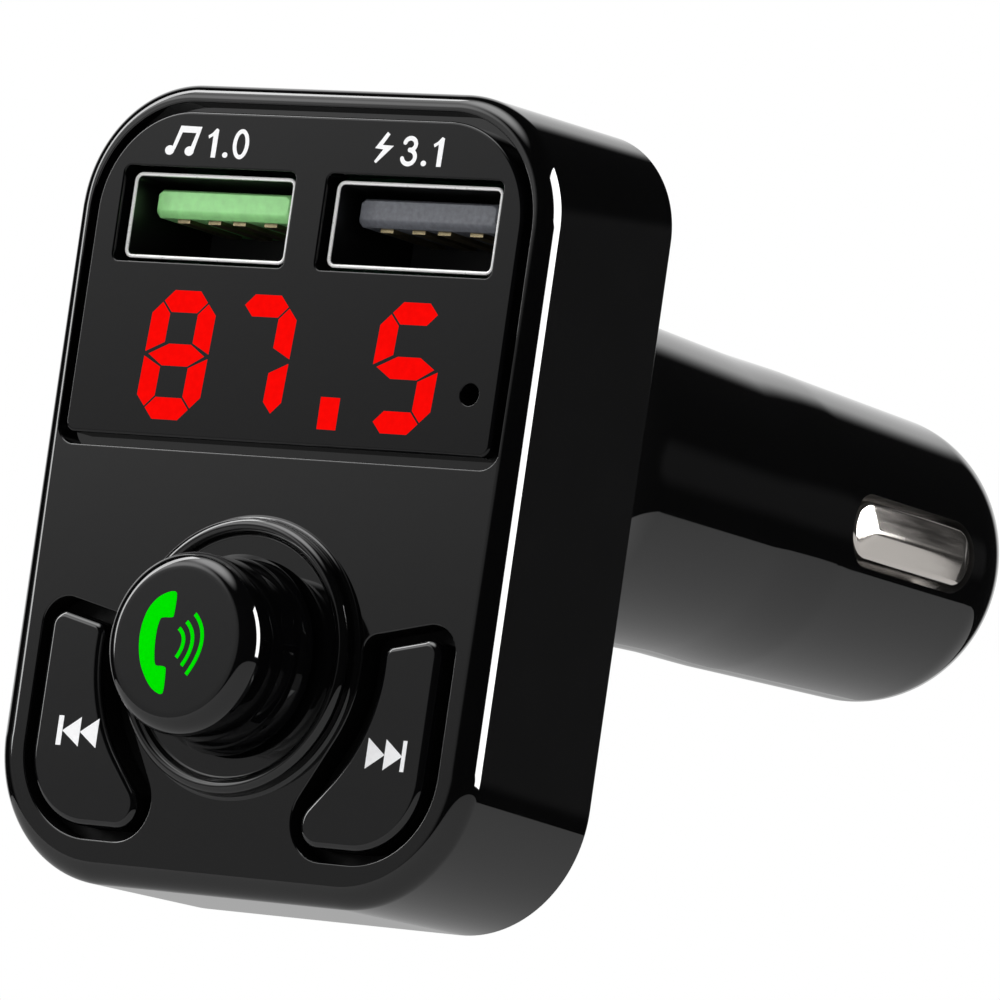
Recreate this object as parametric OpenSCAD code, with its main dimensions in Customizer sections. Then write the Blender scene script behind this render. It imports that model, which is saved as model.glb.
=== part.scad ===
/* [Head] */
// Width of the head across its front face
head_w = 37.4; // [37:0.1:40]
// Height of the head above the plug's axis
head_up = 19.15; // [19.1:0.05:21]
// Height of the head below the plug's axis
head_low = 32.6; // [32.4:0.1:36]
// Depth of the head from its face to its flat back
head_d = 13.5; // [13.3:0.1:16]
// Corner radius of the head at the top
top_r = 7; // [6.5:0.05:8]
// Corner radius of the head at the bottom
low_r = 8.7; // [8.4:0.05:9.7]
// Rounding between the face and the sides
rim_r = 1.4; // [1:0.05:1.45]
// Thickness of the side walls
side_t = 1.2; // [1:0.05:1.25]
// Thickness of the front wall
face_t = 1.8; // [1.6:0.05:2]
// Thickness of the rear cover's plate
back_t = 2; // [1.8:0.1:2.2]
/* [Display window] */
// Width of the smoked window as a share of the head's
lens_share = 0.8984; // [0.878:0.0001:0.9]
// Distance from the window's top edge to the top of the head
lens_top = 1.95; // [1.9:0.05:2.3]
// Bottom edge of the window below the axis
lens_low = 3.9; // [3.8:0.05:4.4]
// Corner radius of the window at the top
lens_r = 6.65; // [6.4:0.05:6.9]
// Corner radius of the window at the bottom
lens_low_r = 0.75; // [0.4:0.05:1.5]
// Thickness of the window
lens_t = 1; // [0.8:0.05:1.1]
// How far the window stands proud of the face
lens_rise = 0.15; // [0.05:0.05:0.3]
// Width of the groove round the window
groove_w = 0.65; // [0.4:0.05:0.7]
// Radius of the microphone hole in the window
mic_hole_r = 0.71; // [0.4:0.01:0.9]
// Height of a digit as a share of the display's
digit_share = 0.9065; // [0.83:0.0005:0.91]
// Slant of the digits, in degrees
digit_slant = 3; // [0:0.5:8]
/* [Charging ports] */
// Distance of each port's centre from the middle as a share of half the head's width
port_share = 0.4342; // [0.43:0.0002:0.445]
// Distance from the ports' centres to the top of the head
port_top = 8.7; // [8.6:0.05:8.85]
// Width of the opening in each port's shell
port_w = 12.5; // [12.3:0.01:12.6]
// Height of the opening in each port's shell
port_h = 5.12; // [5:0.01:5.3]
// Thickness of the shell's sheet
shell_t = 0.25; // [0.2:0.01:0.3]
// Width of the tongue in a port
tongue_w = 11.1; // [10.6:0.05:11.3]
// Thickness of the tongue in a port
tongue_t = 1.84; // [1.6:0.01:1.9]
/* [Knob] */
// Distance from the knob's axis to the bottom of the head
knob_low = 15.06; // [14.8:0.02:15.1]
// Radius of the knob's cap as a share of half the head's width
cap_share = 0.3112; // [0.305:0.0001:0.316]
// Height of the knob above the face
knob_h = 7; // [6.8:0.1:8.5]
// Radius of the knob's skirt at its foot as a share of half the head's width
skirt_share = 0.3422; // [0.335:0.0001:0.352]
// Outer radius of the raised ring round the knob as a share of half the head's width
ring_share = 0.4717; // [0.466:0.0001:0.476]
// Height of the raised ring above the face
ring_h = 1.2; // [0.8:0.05:1.5]
// Height of the flat disc inside the ring above the face
disc_h = 0.6; // [0.4:0.05:0.8]
// Radius of the turning shaft
shaft_r = 3; // [2.8:0.05:3.1]
// Travel of the knob when it is pressed
knob_travel = 0.4; // [0.2:0.05:0.4]
/* [Keys] */
// Distance from a key's outer edge to the side of the head
key_side = 3.3; // [3.2:0.05:3.5]
// Distance from a key's lower edge to the bottom of the head
key_foot = 3.55; // [3.45:0.05:3.7]
// Radius of a key's inner edge about the knob's axis as a share of half the head's width
key_share = 0.5936; // [0.588:0.0002:0.6]
// Height of a key above the face
key_rise = 0.35; // [0:0.05:0.8]
// Travel of a key when it is pressed
key_travel = 0.3; // [0.1:0.05:0.35]
/* [Plug] */
// Length of the plug's shell behind the head
plug_l = 61.75; // [61.5:0.25:68]
// Distance from the flare's foot to the side of the head
flare_side = 1.7; // [1.5:0.1:3.5]
// Length of the flare
flare_l = 15; // [12:0.5:17]
// Radius of the plug at the end of the flare
root_r = 11; // [10.8:0.05:11.4]
// Radius of the seat that fills the socket's mouth
seat_r = 10.46; // [10.3:0.01:10.5]
// Length of the seat
seat_l = 6.3; // [5:0.1:7]
// Radius of the plug where its nose begins
nose_r = 10.06; // [9.95:0.01:10.2]
// Rounding of the nose
nose_round = 7.14; // [7:0.02:7.2]
// Inner radius of the plug
bore_r = 8.4; // [8.3:0.05:8.5]
// Radius of the sprung tip
tip_r = 2.6; // [2.3:0.05:2.65]
// Length of the tip outside the nose
tip_out = 4; // [3:0.1:5]
// Travel of the tip
tip_travel = 2.5; // [1:0.1:2.6]
/* [Side contacts] */
// Length of a side contact
side_l = 15.3; // [14:0.1:15.5]
// Width of a side contact
side_w = 4.4; // [4:0.1:4.6]
// Height of a side contact above the plug
side_rise = 0.82; // [0.6:0.02:0.9]
// Distance from a contact's middle to the end of the shell
side_back = 16.25; // [16.2:0.05:17]
// Travel of a side contact
side_travel = 0.8; // [0.5:0.05:0.85]
/* [Boards] */
// Thickness of both circuit boards
board_t = 1.2; // [1:0.05:1.3]
// Depth from the face to the front board as a share of the head's depth
board_share = 0.6148; // [0.6111:0.0001:0.6296]
/* [Hidden] */
$fn = 72;
arc_steps = 12;
// Overrun of every cut, and the clearances
over = 1;
fit_gap = 0.1;
run_gap = 0.06;
free_gap = 0.3;
// Stations along the plug, measured from the head's back
seat_lead = 0.5;
seat_y0 = plug_l - side_back - side_l / 2 - seat_lead - seat_l;
back_y = -seat_y0 - seat_l / 2;
face_y = back_y - head_d;
nose_y = plug_l - nose_round;
half_w = head_w / 2;
cover_d = head_d - back_t;
board_d = board_share * head_d;
lens_x = lens_share * half_w;
lens_up = head_up - lens_top;
flare_r = min(half_w, head_up) - flare_side;
// Ports
shell_w = port_w + 2 * shell_t;
shell_h = port_h + 2 * shell_t;
shell_r = 0.6;
port_x = port_share * half_w;
port_z = head_up - port_top;
window_share = 0.2326;
window_x = window_share * (port_x - shell_w / 2);
window_r = 0.5;
shell_d0 = 0.5;
shell_d1 = cover_d - free_gap;
tongue_d0 = 1.7;
tongue_lift = 1.05;
base_l = 2.2;
strip_w = 1;
strip_t = 0.25;
strip_d0 = 2.4;
strip_gap = 1;
strip_l = shell_d1 - base_l - strip_gap - strip_d0;
strip_shares = [-0.315, -0.09, 0.09, 0.315];
// Display
mic_side = 4.03;
mic_x = half_w - mic_side;
mic_r = 1.9;
mic_l = 2.7;
boot_t = 0.5;
screen_side = 0.27;
screen_room = 1.79;
screen_x = mic_x - mic_r - boot_t - screen_side;
screen_up = port_z - shell_h / 2 - screen_room;
screen_low = 3.2;
screen_d0 = 1.3;
segment_t = 0.2;
screen_gap = 0.25;
digit_h = digit_share * (screen_up + screen_low);
digit_low = screen_low - (screen_up + screen_low - digit_h) / 2;
digit_shares = [-0.916, -0.378, 0.596];
digit_w_share = 0.306;
bar_share = 0.17;
gap_share = 0.009;
dot_x_share = 0.3167;
dot_share = 0.18;
dot_h_share = 0.248;
lit = [["a", "b", "c", "d", "e", "f", "g"], ["a", "b", "c"], ["a", "c", "d", "f", "g"]];
// Knob and encoder
knob_z = head_low - knob_low;
cap_r = cap_share * half_w;
skirt_r = skirt_share * half_w;
ring_r = ring_share * half_w;
cap_round = 1.15;
knob_t = 0.9;
knob_hub_r = 3.9;
knob_top_t = 1.6;
foot_gap = 0.2;
foot_h = disc_h + knob_travel + foot_gap;
tier_step = 0.3;
tier_slip = 0.03;
tier_rs = [skirt_r, skirt_r - tier_step, skirt_r - tier_step - tier_slip, cap_r + tier_slip];
tier_shares = [0.183, 0.307, 0.379, 0.507];
ring_t = 1;
knob_hole_r = 4.2;
coder_w = 12;
coder_d0 = 3.2;
coder_t = 0.7;
rotor_r = 4.6;
rotor_d0 = 4.1;
spline_r = 2.4;
spline_flat = 1.6;
shaft_d1 = board_d - 2 * coder_t - free_gap;
shoulder_d = 3.5;
// Keys and their wells
key_x = half_w - key_side;
key_low = head_low - key_foot;
key_arc = key_share * half_w;
key_slope = 12;
key_step = 0.9;
arc_drop = 1.75;
well_x = key_x + key_step;
well_low = key_low + key_step - fit_gap;
well_arc = key_arc - arc_drop;
well_top = 0;
well_low_r = 5.9;
well_in_share = 0.4385;
well_in_x = well_in_share * half_w;
well_in_r = 2.6;
well_tip_r = 1;
well_out_r = 1.85;
key_drop = 0.95;
key_low_r = 4.8;
key_in_share = 0.4278;
key_in_x = key_in_share * half_w;
key_in_r = 1.5;
key_tip_r = 0.8;
key_out_r = 1;
lip = 0.6;
lip_t = 0.75;
switch_share = 0.6631;
switch_x = switch_share * half_w;
switch_drop = 3.86;
switch_z = knob_z + switch_drop;
switch_w = 6;
switch_h = 3.4;
button_r = 1.72;
button_d0 = 3.2;
button_d1 = 6.4;
pip_r = 1.4;
// Screws, bosses and board
boss_r = 1.5;
case_r = 0.8;
case_head_r = 1.4;
case_head_t = 1.1;
case_l = 7;
case_sink = 1.3;
board_screw_r = 0.75;
board_head_r = 1.5;
board_head_t = 1.1;
board_screw_l = 5;
cross_w = 0.45;
case_side = 7.3;
case_top = 3.65;
case_x = 3;
case_foot = 3;
case_spots = [[-half_w + case_side, head_up - case_top], [half_w - case_side, head_up - case_top],
    [-case_x, -head_low + case_foot], [case_x, -head_low + case_foot]];
board_side = 5.2;
board_drop = 8;
board_foot = 6.9;
board_spots = [[-half_w + board_side, -board_drop], [half_w - board_side, -board_drop],
    [0, -head_low + board_foot]];
// Parts on the front board: place and width, height and thickness
chip_side = 9.2;
chip_drop = 2;
radio_size = [6, 6, 1];
transmitter_size = [4, 4, 0.9];
crystal_size = [3.2, 2.5, 0.8];
crystal_gap = 0.4;
antenna_size = [6, 2, 1.1];
antenna_foot = 8.6;
// Power board and its parts
power_z = 7.4;
power_y0 = -1.4;
power_end = 15.95;
power_y1 = plug_l - power_end;
seat_t = 1.5;
side_lip_t = 0.9;
seat_gap = 1.2;
seat_x = bore_r - free_gap - side_lip_t - side_travel - seat_gap;
pin_w = 0.64;
pin_pitch = 2.54;
header_w = 2.4;
pin_y0 = board_d - head_d + run_gap;
pin_y1 = 2.5;
core_r = 3.4;
core_neck_r = 1.6;
core_l = 4.8;
core_t = 0.9;
core_y = 12;
coil_r = 0.28;
coil_turns = 5;
coil_mid_r = 2.5;
can_r = 2.9;
can_l = 8;
can_y = 8;
chip_y = 21;
chip_w = 4.9;
chip_h = 3.9;
chip_t = 1.5;
diode_y = 29;
diode_w = 4.3;
diode_h = 2.6;
diode_t = 2;
tab_w = 1.4;
tab_t = 0.4;
leg_w = 0.4;
leg_l = 1;
leg_pitch = 1.27;
// Tip, spring and side contacts
nose_end_t = 3.2;
collar_r = 4.2;
collar_t = 1;
collar_y = plug_l - nose_end_t - collar_t - fit_gap;
guide_r = 1.6;
guide_l = 3;
tip_round = 1.7;
wire_r = 0.2;
coil_out_r = 3.2;
spring_turns = 6;
side_y = plug_l - side_back;
side_ridge_r = 3.2;
side_arc_r = 46;
side_lip = 1;

// Helpers: direction, prism across the head, solid turned about the plug or the knob
function dir(a) = [cos(a), sin(a)];
function arc_points(centre, r, a0, a1) =
    [for (i = [0:arc_steps]) centre + r * dir(a0 + (a1 - a0) * i / arc_steps)];
module slab(d0, d1)
    translate([0, face_y + d1, 0])
        rotate([90, 0, 0])
            linear_extrude(d1 - d0)
                children();
module turned()
    translate([0, back_y, 0])
        rotate([-90, 0, 0])
            rotate_extrude()
                children();
module about_knob()
    translate([0, face_y, -knob_z])
        rotate([90, 0, 0])
            rotate_extrude()
                children();
module rod(x, z, r, d0, d1)
    translate([x, face_y + d1, z])
        rotate([90, 0, 0])
            cylinder(h = d1 - d0, r = r);
module block(x0, x1, z0, z1, d0, d1)
    translate([x0, face_y + d0, z0])
        cube([x1 - x0, d1 - d0, z1 - z0]);
module stem_block(x0, x1, y0, y1, z0, z1)
    translate([x0, back_y + y0, z0])
        cube([x1 - x0, y1 - y0, z1 - z0]);
module mirrored(side)
    mirror([side < 0 ? 1 : 0, 0, 0])
        children();

// Outlines
module rounded(x, up, low, r_up, r_low) {
    translate([-x, -low + r_low])
        square([2 * x, up + low - r_up - r_low]);
    translate([-x + r_up, 0])
        square([2 * (x - r_up), up]);
    translate([-x + r_low, -low])
        square([2 * (x - r_low), low]);
    for (side = [-1, 1]) {
        translate([side * (x - r_up), up - r_up])
            circle(r_up);
        translate([side * (x - r_low), -low + r_low])
            circle(r_low);
    }
}
module head_outline(inset)
    rounded(half_w - inset, head_up - inset, head_low - inset, top_r - inset, low_r - inset);
module lens_outline(grow)
    rounded(lens_x + grow, lens_up + grow, lens_low + grow, lens_r + grow, lens_low_r + grow);
module port_outline(w, h, r)
    translate([0, port_z])
        rounded(w / 2, h / 2, h / 2, r, r);
module fan(centre, r, a0, a1)
    intersection() {
        translate(centre)
            circle(r);
        polygon([centre, centre + 2 * r * dir(a0), centre + 2 * r * dir((a0 + a1) / 2),
            centre + 2 * r * dir(a1)]);
    }
module key_outline(x, low, arc, top, low_round, in_x, in_round, tip_round, out_round) {
    hub = [0, -knob_z];
    up = dir(key_slope + 90);
    low_c = [x - low_round, -low + low_round];
    in_c = [in_x, -low + in_round];
    in_away = in_c - hub;
    in_a = atan2(in_away[1], in_away[0]) + acos(min(1, (arc + in_round) / norm(in_away)));
    tip_along = sqrt(pow(arc + tip_round, 2) - pow(top - tip_round, 2));
    tip_away = tip_along * dir(key_slope) + (top - tip_round) * up;
    tip_c = hub + tip_away;
    tip_a = atan2(tip_away[1], tip_away[0]);
    out_x = x - out_round;
    out_c = [out_x, -knob_z + (top - out_round + sin(key_slope) * out_x) / cos(key_slope)];
    polygon(concat(arc_points(low_c, low_round, -90, 0),
        arc_points(out_c, out_round, 0, key_slope + 90),
        arc_points(tip_c, tip_round, key_slope + 90, tip_a + 180),
        arc_points(hub, arc, tip_a, in_a),
        arc_points(in_c, in_round, in_a + 180, 270)));
}
module well_outline(grow)
    key_outline(well_x + grow, well_low + grow, well_arc - grow, well_top + grow,
        well_low_r + grow, well_in_x, well_in_r + grow, well_tip_r + grow, well_out_r + grow);
module key_top_outline()
    key_outline(key_x, key_low, key_arc, well_top - key_drop, key_low_r, key_in_x, key_in_r,
        key_tip_r, key_out_r);

// Head: the front half of the case, with its rounded rim
module rim_corner(x, z, r)
    translate([x, face_y + rim_r, z])
        rotate([90, 0, 0])
            rotate_extrude() {
                square([r - rim_r, rim_r]);
                fan([r - rim_r, 0], rim_r, 0, 90);
            }
module head_form() {
    slab(rim_r, head_d)
        head_outline(0);
    slab(0, rim_r)
        head_outline(rim_r);
    for (side = [-1, 1]) {
        mirrored(side)
            translate([half_w - rim_r, face_y + rim_r, -head_low + low_r])
                linear_extrude(head_up + head_low - top_r - low_r)
                    fan([0, 0], rim_r, -90, 0);
        rim_corner(side * (half_w - top_r), head_up - top_r, top_r);
        rim_corner(side * (half_w - low_r), -head_low + low_r, low_r);
    }
    translate([-half_w + top_r, face_y + rim_r, head_up - rim_r])
        rotate([0, 90, 0])
            linear_extrude(head_w - 2 * top_r)
                fan([0, 0], rim_r, 180, 270);
    translate([-half_w + low_r, face_y + rim_r, -head_low + rim_r])
        rotate([0, 90, 0])
            linear_extrude(head_w - 2 * low_r)
                fan([0, 0], rim_r, -90, 0);
}
module front_housing()
    color([0.05, 0.05, 0.055])
        difference() {
            union() {
                difference() {
                    head_form();
                    slab(face_t, head_d + over)
                        head_outline(side_t);
                }
                about_knob()
                    union() {
                        translate([0, -face_t / 2])
                            square([ring_r - ring_t / 2, face_t / 2 + disc_h]);
                        translate([ring_r - ring_t, 0])
                            square([ring_t, ring_h - ring_t / 2]);
                        translate([ring_r - ring_t / 2, ring_h - ring_t / 2])
                            circle(ring_t / 2);
                    }
                intersection() {
                    slab(face_t - fit_gap, head_d)
                        head_outline(side_t - fit_gap);
                    union()
                        for (spot = case_spots)
                            rod(spot[0], spot[1], boss_r, face_t - fit_gap, cover_d);
                }
                for (spot = board_spots)
                    rod(spot[0], spot[1], boss_r, face_t - fit_gap, board_d);
            }
            slab(-over, lens_t)
                lens_outline(groove_w);
            block(-screen_x - screen_gap, screen_x + screen_gap, -screen_low - screen_gap,
                screen_up + screen_gap, -over, face_t + over);
            for (side = [-1, 1]) {
                translate([side * port_x, 0, 0])
                    slab(-over, face_t + over)
                        port_outline(shell_w + 2 * window_x, shell_h + 2 * free_gap, window_r);
                mirrored(side)
                    slab(-over, face_t + over)
                        well_outline(0);
            }
            rod(mic_x, 0, mic_hole_r + fit_gap, -over, face_t + over);
            rod(0, -knob_z, knob_hole_r, -over, face_t + over);
            for (spot = case_spots)
                rod(spot[0], spot[1], case_r + run_gap, cover_d - case_l, cover_d + over);
            for (spot = board_spots)
                rod(spot[0], spot[1], board_screw_r + run_gap, board_d - board_screw_l, board_d + over);
        }

// Rear half of the case: cover plate, flare, plug and nose in one piece
module stem_profile() {
    flare_arc = (pow(flare_r - root_r, 2) + pow(flare_l, 2)) / (2 * (flare_r - root_r));
    difference() {
        translate([0, -back_t])
            square([flare_r, back_t + flare_l]);
        translate([root_r + flare_arc, flare_l])
            circle(flare_arc);
    }
    polygon([[0, flare_l], [root_r, flare_l], [seat_r, seat_y0], [seat_r, seat_y0 + seat_l],
        [nose_r, nose_y], [0, nose_y]]);
    translate([0, nose_y])
        square([nose_r - nose_round, nose_round]);
    intersection() {
        translate([nose_r - nose_round, nose_y])
            circle(nose_round);
        translate([nose_r - nose_round, nose_y])
            square(nose_round);
    }
}
module stem_hollow() {
    flare_arc = (pow(flare_r - root_r, 2) + pow(flare_l, 2)) / (2 * (flare_r - root_r));
    hollow_arc = flare_arc + root_r - bore_r;
    difference() {
        translate([0, -back_t - over])
            square([flare_r, back_t + over + flare_l]);
        translate([root_r + flare_arc, flare_l])
            circle(hollow_arc);
    }
    polygon([[0, flare_l - fit_gap], [bore_r, flare_l - fit_gap], [bore_r, nose_y],
        [collar_r + free_gap, plug_l - nose_end_t], [0, plug_l - nose_end_t]]);
    square([tip_r + fit_gap, plug_l + over]);
}
module side_slot(side)
    mirrored(side)
        translate([0, back_y + side_y, 0])
            rotate([0, 90, 0])
                linear_extrude(root_r + over)
                    stadium(side_w / 2 + free_gap, side_l / 2 - side_w / 2);
module stadium(r, reach) {
    for (end = [-1, 1])
        translate([0, end * reach])
            circle(r);
    translate([-r, -reach])
        square([2 * r, 2 * reach]);
}
module rear_housing()
    color([0.05, 0.05, 0.055])
        difference() {
            union() {
                slab(cover_d, head_d)
                    head_outline(side_t + fit_gap);
                turned()
                    stem_profile();
            }
            turned()
                stem_hollow();
            for (side = [-1, 1])
                side_slot(side);
            for (spot = case_spots) {
                rod(spot[0], spot[1], case_r + fit_gap, cover_d - over, head_d + over);
                rod(spot[0], spot[1], case_head_r + fit_gap, head_d - case_sink, head_d + over);
            }
        }

// Display window, the module behind it and its lit segments
module display_lens()
    color([0.02, 0.02, 0.025, 0.7])
        difference() {
            slab(-lens_rise, lens_t)
                lens_outline(0);
            for (side = [-1, 1])
                translate([side * port_x, 0, 0])
                    slab(-over, lens_t + over)
                        port_outline(shell_w + 2 * window_x, shell_h + 2 * free_gap, window_r);
            rod(mic_x, 0, mic_hole_r, -over, lens_t + over);
        }
module display_module()
    color([0.15, 0.15, 0.16])
        block(-screen_x, screen_x, -screen_low, screen_up, screen_d0, board_d);
function slanted(p) = [p[0] + p[1] * tan(digit_slant), p[1] - digit_low];
module segment(name) {
    w = digit_w_share * screen_x;
    t = bar_share * digit_h / 2;
    s = (digit_h - 2 * t) / 2;
    g = gap_share * digit_h;
    level = name == "a" ? 2 : name == "g" ? 1 : 0;
    x = name == "b" || name == "c" ? w : 0;
    out = x > 0 ? 1 : -1;
    low = name == "c" || name == "e" ? 1 : 0;
    z = t + (low == 1 ? 0 : 2 * s);
    turn = low == 1 ? 1 : -1;
    bar = [[g, 0], [t + g, t], [w - t - g, t], [w - g, 0], [w - t - g, -t], [t + g, -t]];
    post = [[0, g], [t, t + g], [t, s - t - g], [-t, s - g], [-t, t + g]];
    if (name == "a" || name == "d" || name == "g")
        polygon([for (p = bar) slanted([p[0], t + level * s + p[1]])]);
    else
        polygon([for (p = post) slanted([x - out * p[0], z + turn * p[1]])]);
}
module digit_segments()
    color([0.9, 0.05, 0.05])
        slab(screen_d0 - segment_t, screen_d0)
            union() {
                for (i = [0:len(digit_shares) - 1])
                    translate([digit_shares[i] * screen_x, 0])
                        for (name = lit[i])
                            segment(name);
                translate([dot_x_share * screen_x - dot_share * digit_h / 2, -digit_low])
                    square([dot_share * digit_h, dot_h_share * digit_h]);
            }

// Charging ports
module usb_shell(side)
    color([0.78, 0.79, 0.8])
        translate([side * port_x, 0, 0])
            difference() {
                slab(shell_d0, shell_d1)
                    port_outline(shell_w, shell_h, shell_r);
                slab(shell_d0 - over, shell_d1 + over)
                    port_outline(port_w, port_h, shell_r - shell_t);
            }
module usb_shell_left()
    usb_shell(-1);
module usb_shell_right()
    usb_shell(1);
module usb_tongue(side, tint)
    color(tint)
        translate([side * port_x, 0, 0]) {
            slab(shell_d1 - base_l, shell_d1)
                port_outline(port_w - fit_gap, port_h - fit_gap, shell_r - shell_t);
            block(-tongue_w / 2, tongue_w / 2, port_z + tongue_lift - tongue_t / 2,
                port_z + tongue_lift + tongue_t / 2, tongue_d0, shell_d1 - base_l / 2);
        }
module usb_tongue_left()
    usb_tongue(-1, [0.55, 0.9, 0.6]);
module usb_tongue_right()
    usb_tongue(1, [0.2, 0.2, 0.21]);
module usb_contacts(side)
    color([0.85, 0.75, 0.45])
        translate([side * port_x, 0, 0])
            for (share = strip_shares)
                block(share * tongue_w - strip_w / 2, share * tongue_w + strip_w / 2,
                    port_z + tongue_lift - tongue_t / 2 - strip_t,
                    port_z + tongue_lift - tongue_t / 2, strip_d0, strip_d0 + strip_l);
module usb_contacts_left()
    usb_contacts(-1);
module usb_contacts_right()
    usb_contacts(1);

// Knob on its encoder
module knob()
    color([0.04, 0.04, 0.045])
        difference() {
            about_knob()
                union() {
                    polygon(concat([[0, foot_h], [skirt_r, foot_h]],
                        [for (i = [0:3]) [tier_rs[i], tier_shares[i] * knob_h]],
                        [[cap_r, knob_h - cap_round], [0, knob_h - cap_round]]));
                    translate([0, foot_h])
                        square([cap_r - cap_round, knob_h - foot_h]);
                    intersection() {
                        translate([cap_r - cap_round, knob_h - cap_round])
                            circle(cap_round);
                        translate([cap_r - cap_round, knob_h - cap_round])
                            square(cap_round);
                    }
                }
            about_knob()
                difference() {
                    translate([0, -over])
                        square([cap_r - knob_t, knob_h - knob_top_t + over]);
                    translate([0, -over])
                        square([knob_hub_r, knob_h + 2 * over]);
                }
            rod(0, -knob_z, shaft_r, -knob_h + knob_top_t, over);
        }
module encoder_shaft()
    color([0.75, 0.75, 0.76]) {
        rod(0, -knob_z, shaft_r, -knob_h + knob_top_t, shoulder_d);
        intersection() {
            rod(0, -knob_z, spline_r, shoulder_d - fit_gap, shaft_d1);
            block(-spline_r - over, spline_flat, -knob_z - spline_r - over, -knob_z + spline_r + over,
                shoulder_d - over, shaft_d1 + over);
        }
    }
module encoder_rotor()
    color([0.85, 0.85, 0.82])
        difference() {
            rod(0, -knob_z, rotor_r, rotor_d0, board_d - 2 * coder_t);
            intersection() {
                rod(0, -knob_z, spline_r + run_gap, rotor_d0 - over, board_d);
                block(-spline_r - over, spline_flat + run_gap, -knob_z - spline_r - over,
                    -knob_z + spline_r + over, rotor_d0 - over, board_d);
            }
        }
module encoder_body()
    color([0.3, 0.31, 0.32])
        difference() {
            block(-coder_w / 2, coder_w / 2, -knob_z - coder_w / 2, -knob_z + coder_w / 2, coder_d0, board_d);
            rod(0, -knob_z, rotor_r + run_gap, coder_d0 + coder_t, board_d - coder_t);
            rod(0, -knob_z, shaft_r + free_gap, coder_d0 - over, coder_d0 + 2 * coder_t);
        }

// Keys, each with the lip that holds it in and the switch it presses
module key(side)
    color([0.04, 0.04, 0.045])
        mirrored(side) {
            slab(-key_rise, face_t + fit_gap + lip_t / 2)
                key_top_outline();
            slab(face_t + fit_gap, face_t + fit_gap + lip_t)
                well_outline(lip);
            rod(switch_x, -switch_z, pip_r, face_t + lip_t, button_d0);
        }
module prev_key()
    key(-1);
module next_key()
    key(1);
module switch_button(side)
    color([0.85, 0.82, 0.75])
        mirrored(side)
            rod(switch_x, -switch_z, button_r, button_d0, button_d1);
module prev_switch_button()
    switch_button(-1);
module next_switch_button()
    switch_button(1);
module key_switch(side)
    color([0.16, 0.16, 0.17])
        mirrored(side)
            difference() {
                block(switch_x - switch_w / 2, switch_x + switch_w / 2, -switch_z - switch_w / 2,
                    -switch_z + switch_w / 2, board_d - switch_h, board_d);
                rod(switch_x, -switch_z, button_r + run_gap, board_d - switch_h - over,
                    button_d1 + key_travel + fit_gap);
            }
module prev_switch()
    key_switch(-1);
module next_switch()
    key_switch(1);

// Front board and what sits on it
module front_board()
    color([0.08, 0.35, 0.2])
        difference() {
            slab(board_d, board_d + board_t)
                head_outline(side_t + free_gap);
            for (side = [-1, 1])
                translate([side * port_x, 0, 0])
                    slab(board_d - over, board_d + board_t + over)
                        port_outline(shell_w + 2 * fit_gap, shell_h + 2 * fit_gap, shell_r + fit_gap);
            for (spot = case_spots)
                rod(spot[0], spot[1], boss_r + free_gap, board_d - over, board_d + board_t + over);
            for (spot = board_spots)
                rod(spot[0], spot[1], board_screw_r + fit_gap, board_d - over, board_d + board_t + over);
            for (i = [-1:1])
                block(board_t / 2 - fit_gap, board_t / 2 + pin_w + fit_gap, i * pin_pitch - pin_w / 2 - fit_gap,
                    i * pin_pitch + pin_w / 2 + fit_gap, board_d - over, board_d + board_t + over);
        }
module chip(x, z, size)
    block(x - size[0] / 2, x + size[0] / 2, z - size[1] / 2, z + size[1] / 2, board_d + board_t,
        board_d + board_t + size[2]);
module radio_chip()
    color([0.07, 0.07, 0.08])
        chip(-half_w + chip_side, -chip_drop, radio_size);
module transmitter_chip()
    color([0.07, 0.07, 0.08])
        chip(half_w - chip_side, -chip_drop, transmitter_size);
module crystal()
    color([0.75, 0.76, 0.78])
        chip(half_w - chip_side, -chip_drop - (transmitter_size[1] + crystal_size[1]) / 2 - crystal_gap,
            crystal_size);
module chip_antenna()
    color([0.9, 0.9, 0.86])
        chip(-half_w + chip_side, -head_low + antenna_foot, antenna_size);
module microphone()
    color([0.72, 0.73, 0.75])
        rod(mic_x, 0, mic_r, board_d - mic_l, board_d);
module microphone_boot()
    color([0.1, 0.1, 0.1])
        difference() {
            rod(mic_x, 0, mic_r + boot_t, face_t, board_d - fit_gap);
            rod(mic_x, 0, mic_r / 2, face_t - over, board_d);
            rod(mic_x, 0, mic_r, board_d - mic_l, board_d + over);
        }

// Power board in the plug
module power_board()
    color([0.08, 0.35, 0.2])
        stem_block(-board_t / 2, board_t / 2, power_y0, power_y1, -power_z, power_z);
module board_header()
    color([0.08, 0.08, 0.09])
        difference() {
            stem_block(board_t / 2 - pin_w, board_t / 2 + header_w - pin_w, board_d + board_t - head_d, power_y0,
                -1.5 * pin_pitch, 1.5 * pin_pitch);
            for (i = [-1:1])
                stem_block(board_t / 2, board_t / 2 + pin_w, pin_y0, pin_y1, i * pin_pitch - pin_w / 2,
                    i * pin_pitch + pin_w / 2);
        }
module header_pins()
    color([0.85, 0.75, 0.45])
        for (i = [-1:1])
            stem_block(board_t / 2, board_t / 2 + pin_w, pin_y0, pin_y1, i * pin_pitch - pin_w / 2,
                i * pin_pitch + pin_w / 2);
module on_board(y)
    translate([board_t / 2, back_y + y, 0])
        rotate([0, 90, 0])
            rotate_extrude()
                children();
module inductor_core()
    color([0.2, 0.2, 0.21])
        on_board(core_y)
            union() {
                square([core_neck_r, core_l]);
                square([core_r, core_t]);
                translate([0, core_l - core_t])
                    square([core_r, core_t]);
            }
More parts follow.
